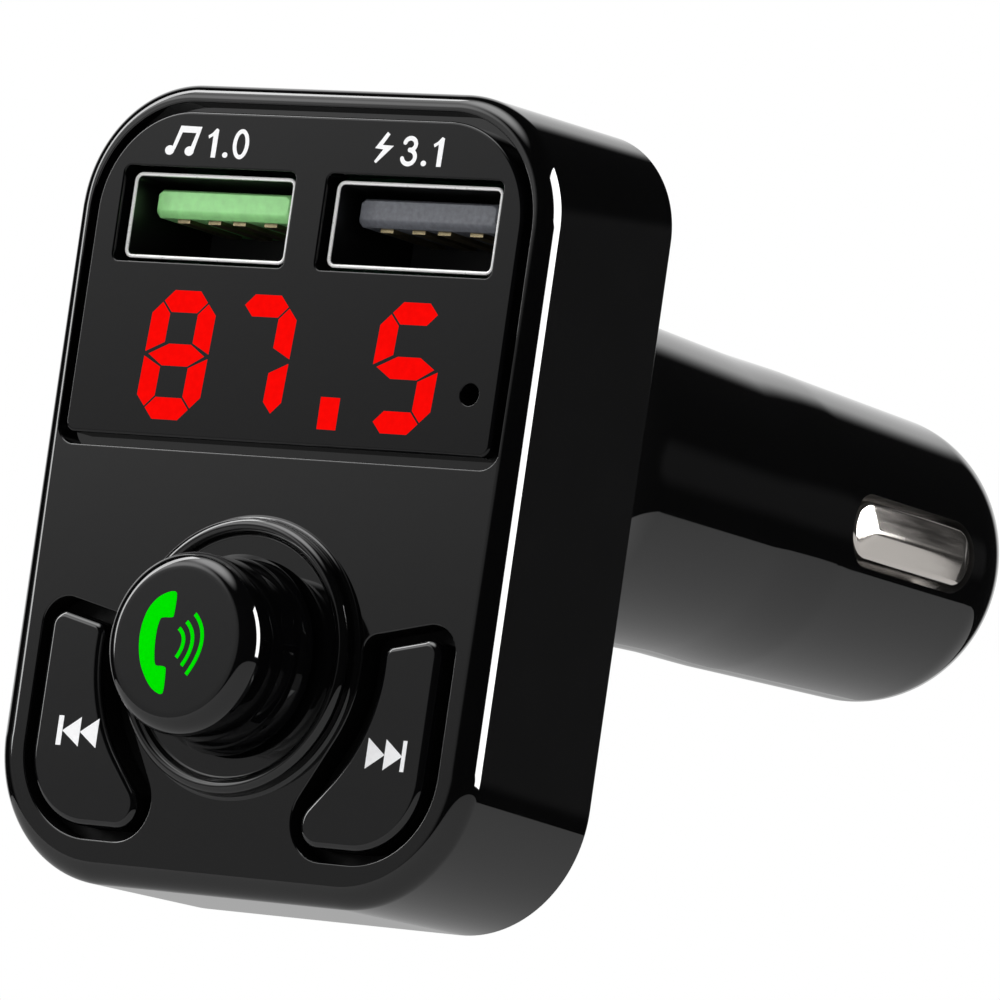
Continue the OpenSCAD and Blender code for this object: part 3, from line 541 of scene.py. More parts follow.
# Settings
class LookSettings(bpy.types.PropertyGroup):
    """Colours and finishes that a user would change"""

    case_color: FloatVectorProperty(name="Case colour", description="Colour of the polished case", size=3,
                                    subtype="COLOR", default=(0.0012, 0.0012, 0.0013), min=0, max=1)
    window_color: FloatVectorProperty(name="Window colour", description="Colour of the smoked window", size=3,
                                      subtype="COLOR", default=(0.0012, 0.0012, 0.0014), min=0, max=1)
    knob_color: FloatVectorProperty(name="Knob colour", description="Colour of the knob and the keys", size=3,
                                    subtype="COLOR", default=(0.0014, 0.0014, 0.0016), min=0, max=1)
    digit_color: FloatVectorProperty(name="Digit colour", description="Colour of the lit digits", size=3,
                                     subtype="COLOR", default=(1.0, 0.003, 0.002), min=0, max=1)
    digit_strength: FloatProperty(name="Digit strength", description="Brightness of the lit digits",
                                  default=1.0, min=0, max=10)
    white_print: FloatVectorProperty(name="White print", description="Colour of the window's and keys' marks",
                                     size=3, subtype="COLOR", default=(0.94, 0.94, 0.95), min=0, max=1)
    green_print: FloatVectorProperty(name="Green print", description="Colour of the knob's marks", size=3,
                                     subtype="COLOR", default=(0.0, 0.76, 0.0), min=0, max=1)
    tongue_left: FloatVectorProperty(name="Left tongue", description="Colour of the left tongue", size=3,
                                     subtype="COLOR", default=(0.36, 0.83, 0.31), min=0, max=1)
    tongue_right: FloatVectorProperty(name="Right tongue", description="Colour of the right tongue", size=3,
                                      subtype="COLOR", default=(0.1, 0.105, 0.12), min=0, max=1)
    nickel_color: FloatVectorProperty(name="Contact colour", description="Colour of the contacts", size=3,
                                      subtype="COLOR", default=(0.86, 0.81, 0.76), min=0, max=1)
    gloss_roughness: FloatProperty(name="Gloss roughness", description="Roughness of the polished parts",
                                   default=0.035, min=0.0, max=1)


class SizeSettings(bpy.types.PropertyGroup):
    """Small sizes of the dressed pieces"""

    groove: FloatProperty(name="Groove", description="Width of the groove round the window",
                          subtype="DISTANCE", default=0.64 * MM, min=0.2 * MM, max=0.68 * MM)
    groove_low: FloatProperty(name="Groove below", description="Width of the groove below the window",
                              subtype="DISTANCE", default=0.76 * MM, min=0.2 * MM, max=1 * MM)
    key_round: FloatProperty(name="Key rounding", description="Rounding of the keys' upper edges",
                             subtype="DISTANCE", default=0.43 * MM, min=0.05 * MM, max=0.6 * MM)
    print_height: FloatProperty(name="Print height", description="How far the print stands on its surface",
                                subtype="DISTANCE", default=0.015 * MM, min=0.005 * MM, max=0.1 * MM)


def sizes():
    return bpy.context.scene.transmitter_sizes


# Pieces
def recess_loop(size):
    """The groove's outer edge: the window's outline moved out, a little more below."""
    g, low = size.groove / MM, size.groove_low / MM
    return rounded_loop(LENS_HIGH[0] + g, LENS_HIGH[2] + g, LENS_LOW[2] - low, WINDOW_R + g, 0.75 + g)


def port_windows(grow=0.0):
    """The openings for the two ports, or the same moved out."""
    x, z, r = 6.88 + grow, 3.11 + grow, 0.5 + grow
    return [moved(rounded_loop(x, z, -z, r, r, 10), side * PORT_X, PORT_Z) for side in (-1, 1)]


class TRANSMITTER_OT_front(bpy.types.Operator):
    """Front half of the case: rounded rim, recess for the window, ring and disc round the knob, two wells"""
    bl_idname = "transmitter.front"
    bl_label = "Front of the case"

    def execute(self, context):
        size = sizes()
        shell = Shell()
        rim = rounded_loop(HALF_W, HEAD_UP, -HEAD_LOWER, TOP_R, LOW_R, 36)
        lip, mouth = 0.1, 0.12
        recess = recess_loop(size)
        wells = [mirrored(well(), s) for s in (-1, 1)]
        depth = HEAD_HIGH[1] - FACE_Y
        start = self.rim(shell, rim)
        self.side(shell, rim, depth)
        fillet, round_in = 0.3, 0.2
        ring_edge = circle_loop(0, KNOB_Z, RING_OUT + fillet, RING_STEPS)
        mouths = [w[0] + w[1] * mouth for w in wells]
        shell.flat([start, recess[0] + recess[1] * lip, ring_edge[0]] + mouths, 0)
        windows = port_windows(0.15)
        screen = moved(rounded_loop(12.25, 4.85, -4.85, 0.2, 0.2, 3), 0, 1.4)
        mic = circle_loop(MIC_X, 0, 0.8, 24)
        sin, cos = bend(6)
        shell.sweep(recess, pairs(lip - lip * sin, lip - lip * cos) + [[0, 1]])
        shell.flat([recess[0], screen[0], mic[0]] + [w[0] for w in windows], 1)
        for hole in windows + [screen, mic]:
            shell.sweep(hole, [[0, 1], [0, FACE_T]])
        for hole in wells:
            shell.sweep(hole, [[mouth, 0], [0.05, 0.03], [0.015, 0.07], [0, 0.14]])
            shell.sweep(hole, [[0, 0.14], [0, FACE_T]], 1)
        crest = 1.2
        half = (RING_OUT - RING_IN) / 2
        sin, cos = bend(9)
        ring = pairs(RING_OUT + fillet * (1 - sin), fillet * (1 - cos))
        ring += quarter(RING_OUT - half, crest - half, half, 0, 180, 17)
        sin, cos = bend(7, 15)
        ring += pairs(RING_IN - round_in * (1 - cos), DISC_H + round_in * (1 - sin))
        ring += [[HUB_HOLE_R, DISC_H], [HUB_HOLE_R, -FACE_T]]
        shell.turn(ring, on_knob, RING_STEPS)
        hub = circle_loop(0, KNOB_Z, HUB_HOLE_R, RING_STEPS)
        holes = [screen[0], mic[0], hub[0]] + [w[0] for w in windows + wells]
        shell.flat([rim[0] - rim[1] * SIDE_T] + holes, FACE_T)
        piece = shell.build("case_front", [MATERIALS["case"], MATERIALS["shade_black"]])
        seat(piece, "case", "case_black", "front_housing")
        return {"FINISHED"}

    def side(self, shell, rim, depth):
        """The side wall: its corners grow fuller from the rim to the back, in straight lines between two
        outlines whose points lie at the same angles."""
        back = rounded_loop(HALF_W, HEAD_UP, -HEAD_LOWER, TOP_R_BACK, LOW_R_BACK, 36)
        rows = [back[0] - back[1] * inset for inset in (0, 0.04, 0.12, SIDE_T)]
        depths = np.array([RIM_R, depth - 0.12, depth - 0.04, depth, depth, FACE_T])[:, None]
        flat = np.stack([rim[0]] + rows + [rim[0] - rim[1] * SIDE_T])
        shell.grid(at_depth(flat, np.broadcast_to(depths, flat.shape[:2])))

    def rim(self, shell, loop):
        """The rounded rim, a quarter of an ellipse: its reach onto the face grows from the window down to
        the foot. Returns where it meets the face."""
        points, ways = loop
        reach = np.interp(points[:, 1], [-22, -4], [1.5, 1.08])
        a = np.radians(np.linspace(0, 90, 15))[:, None]
        out = reach * (np.sin(a) - 1)
        flat = points[None] + ways[None] * out[..., None]
        shell.grid(at_depth(flat, np.broadcast_to(RIM_R * (1 - np.cos(a)), out.shape)))
        return flat[0]


def plug_profile():
    """Radius along the plug: a round flare, a long slow taper and the seat; the slight taper and the round nose
    beyond are turned in the rear's execute.
    """
    end = FLARE_C[1]
    flare = quarter(*FLARE_C, FLARE_R, 180 + np.degrees(np.arcsin(end / FLARE_R)), 180, 28)
    y = np.linspace(end, end + 16.05, 9)[1:]
    body = pairs(plug_radius(y), y)
    return flare + body + [[SEAT_R, 34.2], [SEAT_R, 36.2]]


def plug_radius(y):
    """The plug's radius at a distance behind the head."""
    flare_end = FLARE_C[1]
    return np.interp(y, [flare_end, flare_end + 16.05, 37.35, NOSE_Y], [11, SEAT_R, SEAT_R, 10.06])


class TRANSMITTER_OT_rear(bpy.types.Operator):
    """Rear half of the case: cover plate, flare, plug and nose, with a slot on each side"""
    bl_idname = "transmitter.rear"
    bl_label = "Rear of the case"

    def execute(self, context):
        shell = Shell()
        depth = BACK_Y - FACE_Y
        inset = SIDE_T + 0.1
        plate = rounded_loop(HALF_W - inset, HEAD_UP - inset, -HEAD_LOWER + inset, TOP_R_BACK - 1.1,
                             LOW_R_BACK - 1.2, 36)
        root = circle_loop(0, 0, ROOT_R, PLUG_STEPS)
        sinks = [circle_loop(x, z, SINK_R, 32) for x, z in SCREWS]
        holes = [circle_loop(x, z, SCREW_HOLE_R, 32) for x, z in SCREWS]
        floor = depth - SINK_DEPTH
        shell.sweep(plate, [[-0.1, depth], [-0.03, depth - 0.03], [0, depth - 0.1], [0, COVER_D]])
        shell.flat([plate[0] - plate[1] * 0.1, root[0]] + [s[0] for s in sinks], depth)
        for sink, hole in zip(sinks, holes):
            shell.sweep(sink, [[0, depth], [0, floor]])
            shell.flat([sink[0], hole[0]], floor)
            shell.sweep(hole, [[0, floor], [0, COVER_D]])
        y0, y1 = SLOT_Y - SLOT_HALF - 1.1, SLOT_Y + SLOT_HALF + 0.9
        shell.turn(plug_profile() + [[plug_radius(y0), y0]], on_plug, PLUG_STEPS)
        sin, cos = bend(26)
        tail = [[plug_radius(y1), y1]] + pairs(2.92 + NOSE_R * cos, NOSE_Y + NOSE_R * sin)
        end = PLUG_END - 3.2
        tail += [[2.8, PLUG_END], [2.7, PLUG_END - 0.1], [2.7, end], [4.5, end]]
        tail += [[BORE_R, NOSE_Y], [BORE_R, y1 - 0.3]]
        shell.turn(tail, on_plug, PLUG_STEPS)
        self.slotted(shell, y0, y1)
        turn = np.degrees(np.arcsin((FLARE_C[1] + BACK_T) / FLARE_IN_R))
        inner = [[BORE_R, y0 + 0.3], [BORE_R, FLARE_C[1]]]
        inner += quarter(*FLARE_C, FLARE_IN_R, 180, 180 + turn, 20)[1:]
        shell.turn(inner, on_plug, PLUG_STEPS)
        mouth = circle_loop(0, 0, inner[-1][0], PLUG_STEPS)
        shell.flat([plate[0], mouth[0]] + [h[0] for h in holes], COVER_D)
        piece = shell.build("case_rear", [MATERIALS["case_rear"], MATERIALS["shade_black"]], smooth=35)
        seat(piece, "case", "case_black", "rear_housing")
        return {"FINISHED"}

    def slotted(self, shell, y0, y1):
        """The stretch with the slots: round each slot a patch of rings runs from a frame on the plug's own
        grid to the slot's rounded outline, all on the plug's surface; the rest is the plain turned grid."""
        count, reach = PLUG_STEPS, 9
        edges = {}
        rows = np.linspace(y0, y1, 33)
        for inside in (False, True):
            ys = np.linspace(y0 + 0.3, y1 - 0.3, 33) if inside else rows

            def surface(angle, y):
                r = np.full_like(y, BORE_R) if inside else plug_radius(y)
                return np.stack([r * np.cos(angle), BACK_Y + y, r * np.sin(angle)], -1)

            for start in (reach, count // 2 + reach):
                idx = np.arange(start, start + count // 2 - 2 * reach + 1)
                angle, along = np.meshgrid(2 * np.pi * idx / count, ys)
                shell.grid(surface(angle, along), False)
            for side in (0, count // 2):
                idx = np.arange(side - reach, side + reach + 1)
                ang = 2 * np.pi * idx / count
                box = np.concatenate([
                    np.stack([ang, np.full(len(ang), ys[0])], 1)[:-1],
                    np.stack([np.full(len(ys), ang[-1]), ys], 1)[:-1],
                    np.stack([ang, np.full(len(ang), ys[-1])], 1)[::-1][:-1],
                    np.stack([np.full(len(ys), ang[0]), ys], 1)[::-1][:-1],
                ])
                middle = 2 * np.pi * side / count
                r0 = BORE_R if inside else 10.25
                local = np.stack([(box[:, 0] - middle) * r0, box[:, 1] - SLOT_Y], 1)
                edge = self.to_slot(local)
                r = BORE_R if inside else plug_radius(edge[:, 1] + SLOT_Y)
                lift = np.arcsin(np.clip(edge[:, 0] / r, -1, 1))
                end = np.stack([middle + lift, edge[:, 1] + SLOT_Y], 1)
                t = np.linspace(0, 1, 7)[:, None, None]
                ring = box[None] * (1 - t) + end[None] * t
                shell.grid(surface(ring[..., 0], ring[..., 1]), True)
                key = ("in" if inside else "out", side)
                edges[key] = surface(end[:, 0], end[:, 1])
        for side in (0, count // 2):
            outer, inner = edges[("out", side)], edges[("in", side)]
            shell.grid(np.stack([outer, inner]), True, 1)

    def to_slot(self, local):
        """Each point of the frame goes to the nearest place on the slot's outline, seen from the middle of
        the straight line or of the rounded end that it faces."""
        reach = SLOT_HALF - SLOT_W
        u, v = local[:, 0], local[:, 1]
        half_v = np.max(np.abs(v))
        core = np.clip(v / half_v * (reach + 2.2), -reach, reach)
        way = np.stack([u, v / half_v * (reach + 2.2) - core], 1)
        side = np.abs(np.abs(u) - np.max(np.abs(u))) < 1e-9
        way[side & (np.abs(way[:, 1]) < 1e-9), 1] = 0
        way /= np.linalg.norm(way, axis=1, keepdims=True)
        return np.stack([way[:, 0] * SLOT_W, core + way[:, 1] * SLOT_W], 1)


class TRANSMITTER_OT_window(bpy.types.Operator):
    """Smoked window with the openings for the two ports and the microphone"""
    bl_idname = "transmitter.window"
    bl_label = "Window"

    def execute(self, context):
        shell = Shell()
        outline = rounded_loop(LENS_HIGH[0], LENS_HIGH[2], LENS_LOW[2], WINDOW_R, 0.75, 30)
        ports = port_windows()
        mic = circle_loop(MIC_X, 0, 0.71, 40)
        top, edge, fine, drill = -WINDOW_RISE, 0.2, 0.1, 0.06

        def turn(r, way):
            """A quarter circle from the window's front down its side."""
            sin, cos = bend(7)
            return pairs(way * (r - r * sin), top + r - r * cos)

        openings = [mic[0] + mic[1] * drill] + [p[0] + p[1] * fine for p in ports]
        shell.flat([outline[0] - outline[1] * edge] + openings, top)
        shell.sweep(outline, turn(edge, -1) + [[0, 1]])
        shell.sweep(mic, turn(drill, 1) + [[0, 1]])
        for port in ports:
            shell.sweep(port, turn(fine, 1) + [[0, 1]])
        shell.flat([outline[0], mic[0]] + [p[0] for p in ports], 1)
        piece = shell.build("window", [MATERIALS["window"]])
        seat(piece, "case", "window_black", "display_lens")
        return {"FINISHED"}


class TRANSMITTER_OT_ports(bpy.types.Operator):
    """The two charging ports: bright shells with a rounded mouth, and a tongue in each"""
    bl_idname = "transmitter.ports"
    bl_label = "Charging ports"

    def execute(self, context):
        for side, name in ((-1, "left"), (1, "right")):
            shell = Shell()
            inner = rounded_loop(PORT_X_HALF, PORT_Z_HALF, -PORT_Z_HALF, 0.35, 0.35, 8)
            inner = moved(inner, side * PORT_X, PORT_Z)
            shell.sweep(inner, [[0, PORT_BACK], [0, 0.62]], 1)
            # The rounded mouth takes the painted highlight in slot 2.
            shell.sweep(inner, [[0, 0.62], [0.035, 0.535], [0.125, 0.5], [0.215, 0.535], [0.25, 0.62]], 2)
            shell.sweep(inner, [[0.25, 0.62], [0.25, PORT_BACK], [0, PORT_BACK]])
            finishes = [MATERIALS[m] for m in ("shell", "shell_inside", "shell_rim_highlight")]
            piece = shell.build(f"port_shell_{name}", finishes)
            seat(piece, "case", "port_steel", f"usb_shell_{name}")
            tongue = Shell()
            bar = moved(rounded_loop(5.55, 0.92, -0.92, 0.3, 0.3, 2), side * PORT_X, PORT_Z + TONGUE_LIFT)
            base = moved(rounded_loop(6.2, 2.51, -2.51, 0.3, 0.3, 6), side * PORT_X, PORT_Z)
            front = self.front(side)
            points = bar[0]
            slope = np.linspace(0, 1, 5)[:, None, None]
            flat = front[None] * (1 - slope) + points[None] * slope
            depth = np.broadcast_to(1.7 + 0.45 * slope[..., 0] ** 1.5, flat.shape[:2])
            tongue.grid(at_depth(flat, depth))
            tongue.flat([front], 1.7)
            tongue.sweep(bar, [[0, 2.15], [0, 9]])
            tongue.flat([base[0], bar[0]], 9, 1)
            tongue.sweep(base, [[0, 9], [0, PORT_BACK]], 1)
            tongue.flat([base[0]], PORT_BACK, 1)
            finishes = [MATERIALS[f"tongue_{name}"], MATERIALS["inside_black"]]
            piece = tongue.build(f"port_tongue_{name}", finishes, smooth=25)
            seat(piece, "case", "tongue_green" if side < 0 else "tongue_grey", f"usb_tongue_{name}")
        return {"FINISHED"}

    def front(self, side):
        """The tongue's flat end: its outline drawn in by a wide bevel at the ends and below, a narrow one
        above."""
        points = moved(rounded_loop(5.55, 0.92, -0.92, 0.3, 0.3, 2), 0, 0)[0]
        x = points[:, 0] * (5.55 - 0.33) / 5.55
        z = np.interp(points[:, 1], [-0.92, 0.92], [-0.42, 0.72])
        return np.stack([x + side * PORT_X, z + PORT_Z + TONGUE_LIFT], 1)


class TRANSMITTER_OT_knob(bpy.types.Operator):
    """Knob: a flat cap with a rounded edge on a skirt that widens in two slopes"""
    bl_idname = "transmitter.knob"
    bl_label = "Knob"

    def execute(self, context):
        shell = Shell()
        h, foot = CAP_H, KNOB_FOOT
        roof = h - 1.6
        sin, cos = bend(18)
        profile = [[0.001, h], [2.5, h], [4.5, h]] + pairs(4.7 + 1.12 * sin, h - 1.35 + 1.35 * cos)
        profile += [[5.83, 3.75], [5.84, 3.65], [5.86, 3.5], [6.04, 2.7], [6.06, 2.6], [6.07, 2.5], [6.08, 2.3],
                    [6.1, 2.15], [6.36, 1.4], [6.39, 1.32], [6.4, 1.28], [6.4, foot + 0.05], [6.38, foot + 0.02],
                    [6.3, foot], [5.1, foot], [4.95, foot + 0.15], [4.95, roof], [3.9, roof], [3.9, foot + 0.1],
                    [3.85, foot], [3.07, foot], [3.02, foot + 0.1], [3.02, roof], [0.001, roof]]
        shell.turn(profile, on_knob, RING_STEPS)
        piece = shell.build("knob_cap", [MATERIALS["knob"]], weld=3e-6)
        seat(piece, "knob", "knob_black", "knob")
        return {"FINISHED"}


class TRANSMITTER_OT_keys(bpy.types.Operator):
    """The two keys, each a low cap with rounded edges on the lip that holds it in its well"""
    bl_idname = "transmitter.keys"
    bl_label = "Keys"

    def execute(self, context):
        r = sizes().key_round / MM
        sin, cos = bend(8)
        for side, name in ((-1, "prev"), (1, "next")):
            shell = Shell()
            top = mirrored(key_top(), side)
            lip = mirrored(well(0.6), side)
            shell.flat([top[0] - top[1] * r], -KEY_RISE)
            shell.sweep(top, pairs(-r + r * sin, -KEY_RISE + r - r * cos) + [[0, 0.3]])
            shell.sweep(top, [[0, 0.3], [0, 1.9]], 1)
            shell.flat([lip[0], top[0]], 1.9, 1)
            shell.sweep(lip, [[0, 1.9], [0, 2.65]], 1)
            pip = circle_loop(side * 12.4, -21.4, 1.4, 48)
            shell.flat([lip[0], pip[0]], 2.65, 1)
            shell.sweep(pip, [[0, 2.65], [0, 3.2]], 1)
            shell.flat([pip[0]], 3.2, 1)
            piece = shell.build(f"{name}_key_cap", [MATERIALS["knob"], MATERIALS["shade_black"]])
            seat(piece, f"{name}_key", "knob_black", f"{name}_key")
        return {"FINISHED"}


class TRANSMITTER_OT_contacts(bpy.types.Operator):
    """Side contacts: rounded ridges in their slots, and the sprung tip"""
    bl_idname = "transmitter.contacts"
    bl_label = "Contacts and tip"

    def execute(self, context):
        reach, half = CONTACT_REACH, CONTACT_HALF
        outline = join_arcs([arc((0, reach), half, 0, 180, 40), arc((0, -reach), half, 180, 360, 40)])
        outline = subdivided(outline, 0.4)[0]
        core = np.stack([np.zeros(len(outline)), np.clip(outline[:, 1], -reach, reach)], 1)
        for side, name in ((-1, "left"), (1, "right")):
            shell = Shell()
            share = np.sin(np.linspace(0, np.pi / 2, 22))[:, None, None]
            rows = core[None] + (outline - core)[None] * share
            x = self.ridge(rows)
            shell.grid(np.stack([side * x, BACK_Y + SLOT_Y + rows[..., 1], rows[..., 0]], -1), True)
            rim = np.stack([side * x[-1], BACK_Y + SLOT_Y + outline[:, 1], outline[:, 0]], -1)
            low = rim.copy()
            low[:, 0] = side * CONTACT_FOOT
            shell.grid(np.stack([rim, low]), True)
            self.flange(shell, side, low)
            piece = shell.build(f"side_contact_cap_{name}", [MATERIALS["nickel"]], smooth=50)
            seat(piece, f"{name}_contact", "contact_nickel", f"side_contact_{name}")
        shell = Shell()
        r, end = 2.6, TIP_END
        collar = PLUG_END - 3.2 - 1 - 0.1
        front, tail = collar + 1, collar - 3
        profile = [[0.001, end], [0.9, end]] + quarter(0.9, end - 1.7, 1.7, 90, 0, 16)[1:]
        profile += [[r, front], [4.2, front], [4.2, collar], [1.6, collar], [1.6, tail], [0.001, tail]]
        shell.turn(profile, on_plug, 96)
        piece = shell.build("tip_pin", [MATERIALS["nickel"]], weld=3e-6)
        seat(piece, "tip", "contact_nickel", "plug_tip")
        return {"FINISHED"}

    def ridge(self, place):
        """How far out the contact stands: two flanks that meet in a soft crest line, less an easy arc along
        it, and rounded down to the slot at its outline, where the height falls as a quarter ellipse."""
        z, y = place[..., 0], place[..., 1]
        away = np.hypot(z, y - np.clip(y, -CONTACT_REACH, CONTACT_REACH)) / CONTACT_HALF
        soft = 0.15
        flank = 0.34 * (np.sqrt(away ** 2 * CONTACT_HALF ** 2 + soft ** 2) - soft)
        edge = 0.62 * (1 - np.sqrt(np.maximum(1 - np.clip((away - 0.84) / 0.16, 0, 1) ** 2, 0)))
        return 11.08 - y ** 2 / 130 - flank - edge

    def flange(self, shell, side, low):
        """The plate behind the slot: a rectangle larger than the slot, closed round the contact's foot."""
        y0, y1, w = SLOT_Y - 8.65, SLOT_Y + 8.65, 3.2
        loop = np.array([[w, y1], [-w, y1], [-w, y0], [w, y0]])
        foot = np.stack([low[:, 2], low[:, 1] - BACK_Y], 1)

        def place(flat, depth):
            return np.stack([side * (CONTACT_FOOT - depth), BACK_Y + flat[..., 1], flat[..., 0]], -1)

        shell.flat([loop, foot], 0, place=place)
        shell.flat([loop], 0.9, place=place)
        walls = np.stack([place(loop, np.zeros(4)), place(loop, np.full(4, 0.9))])
        shell.grid(walls, True)


class TRANSMITTER_OT_spring(bpy.types.Operator):
    """Spring behind the tip: a round wire on a helix over the packed spring's length; in the real plug it
    shortens towards its seat as the tip goes in.
    """
    bl_idname = "transmitter.spring"
    bl_label = "Tip spring"

    def execute(self, context):
        low, high = [np.array(c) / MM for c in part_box("tip_spring")]
        length = high[1] - low[1]
        steps = np.linspace(0, 1, 24 * SPRING_TURNS + 1)
        along, b = np.meshgrid(steps, np.arange(12) * np.pi / 6, indexing="ij")
        a = 2 * np.pi * SPRING_TURNS * along
        r = high[0] - SPRING_WIRE + SPRING_WIRE * np.cos(b)
        y = low[1] + SPRING_WIRE + (length - 2 * SPRING_WIRE) * along + SPRING_WIRE * np.sin(b)
        coil = np.stack([r * np.cos(a), y, r * np.sin(a)], -1)
        shell = Shell()
        shell.grid(coil)
        for end in (coil[0], coil[-1]):
            shell.add(end, [list(range(len(end)))])
        piece = shell.build("tip_spring_coil", [MATERIALS["steel"]])
        seat(piece, "case", "pin_steel", "tip_spring")
        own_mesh(piece)
        return {"FINISHED"}


# Marks
def mark(name, shapes, material, body, place):
    """Print: closed flat shapes, each a thin plate standing a hair above its surface; each next one stands
    a little lower, so that shapes can lie over each other."""
    shell = Shell()
    height = sizes().print_height / MM
    for count, loops in enumerate(shapes):
        loops = [np.asarray(p, float) for p in loops]
        h = height * (1 - 0.06 * (count % 8))
        shell.flat(loops, h, place=place)
        shell.flat(loops, -h, place=place)
        for loop in loops:
            shell.grid(np.stack([place(loop, np.full(len(loop), way * h)) for way in (1, -1)]), True)
    piece = shell.build(name, [material], smooth=30)
    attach(piece, body)
    return piece


def on_face(flat, height):
    """Points on the face, set out by their height."""
    return np.stack([flat[..., 0], np.broadcast_to(FACE_Y - height, flat.shape[:-1]), flat[..., 1]], -1)


def on_window(flat, height):
    return on_face(flat, np.asarray(height) + WINDOW_RISE)


def on_keys(flat, height):
    return on_face(flat, np.asarray(height) + KEY_RISE)


def on_cap(flat, height):
    return on_face(flat, np.asarray(height) + CAP_H)


# Segments of the display's digits as measured: each a hexagon or a five-sided bar
BAR = 0.71
STEP = 3.47
WIDE = 3.67
LIT = {-10.55: "abcdefg", -4.1: "abc", 7.58: "acdfg"}


def segment(name, x0):
    """A segment's outline on a digit of two stacked squares, leaning by its height times the slant."""
    g, t, s, w = 0.1, BAR, STEP, WIDE
    level = {"a": 2, "g": 1, "d": 0}
    if name in level:
        z = t + level[name] * s
        points = [[g, z], [t + g, z + t], [w - t - g, z + t], [w - g, z], [w - t - g, z - t], [t + g, z - t]]
        if name == "g":
            points[0][0], points[1][0], points[3][0] = g - 0.5, t + g + 0.3, w - g + 0.5
    else:
        x, out = (w, 1) if name in "bc" else (0, -1)
        low = name in "ce"
        z, turn = (t, 1) if low else (t + 2 * s, -1)
        points = [[0, g], [t, t + g], [t, s - g - 0.05], [-t, s - t - g], [-t, t + g]]
        points = [[x + out * p, z + turn * q] for p, q in points]
    return [[x0 + p + (q - 2.78) * 0.052, q - 2.78] for p, q in points]


class TRANSMITTER_OT_digits(bpy.types.Operator):
    """Lit digits as they show on the window"""
    bl_idname = "transmitter.digits"
    bl_label = "Lit digits"

    def execute(self, context):
        shapes = [[segment(s, x)] for x, names in LIT.items() for s in names]
        shapes.append([[[3.28, -2.77], [4.76, -2.78], [4.79, -0.72], [3.28, -0.71]]])
        piece = mark("lit_digits", shapes, MATERIALS["digit"], "case", on_window)
        piece.visible_glossy = False
        return {"FINISHED"}


def stroke(path, width, rounded=True):
    """The outline of a pen line: each point of the path moves half the width to both sides, at right angles
    to the path there, and round ends close it."""
    path = np.asarray(path, float)
    along = np.gradient(path, axis=0)
    along /= np.linalg.norm(along, axis=1, keepdims=True)
    side = np.stack([-along[:, 1], along[:, 0]], 1) * width / 2
    if not rounded:
        return np.concatenate([path + side, (path - side)[::-1]])
    a = np.radians(np.linspace(90, -90, 9))[1:-1, None]
    end = path[-1] + width / 2 * (np.cos(a) * along[-1] + np.sin(a) * np.array([-along[-1, 1], along[-1, 0]]))
    start = path[0] - width / 2 * (np.cos(a) * along[0] + np.sin(a) * np.array([-along[0, 1], along[0, 0]]))
    return np.concatenate([path + side, end, (path - side)[::-1], start])


def oval(x, z, rx, rz, start=0, end=360, count=33):
    """Points on an ellipse: (x + rx cos a, z + rz sin a)."""
    a = np.radians(np.linspace(start, end, count))
    return np.stack([x + rx * np.cos(a), z + rz * np.sin(a)], 1)


def eased(loop, times=2):
    """Rounds an outline by cutting its corners: each side keeps the stretch from a quarter to three
    quarters."""
    loop = np.asarray(loop, float)
    for _ in range(times):
        after = np.roll(loop, -1, 0)
        loop = np.stack([0.75 * loop + 0.25 * after, 0.25 * loop + 0.75 * after], 1).reshape(-1, 2)
    return loop


def one(x, z):
    """The figure 1, its foot's middle at x and z."""
    return [[[x - 0.18, z], [x + 0.18, z], [x + 0.21, z + 1.82], [x + 0.02, z + 1.9], [x - 0.27, z + 1.6],
             [x - 0.58, z + 1.42], [x - 0.5, z + 1.23], [x - 0.18, z + 1.42]]]


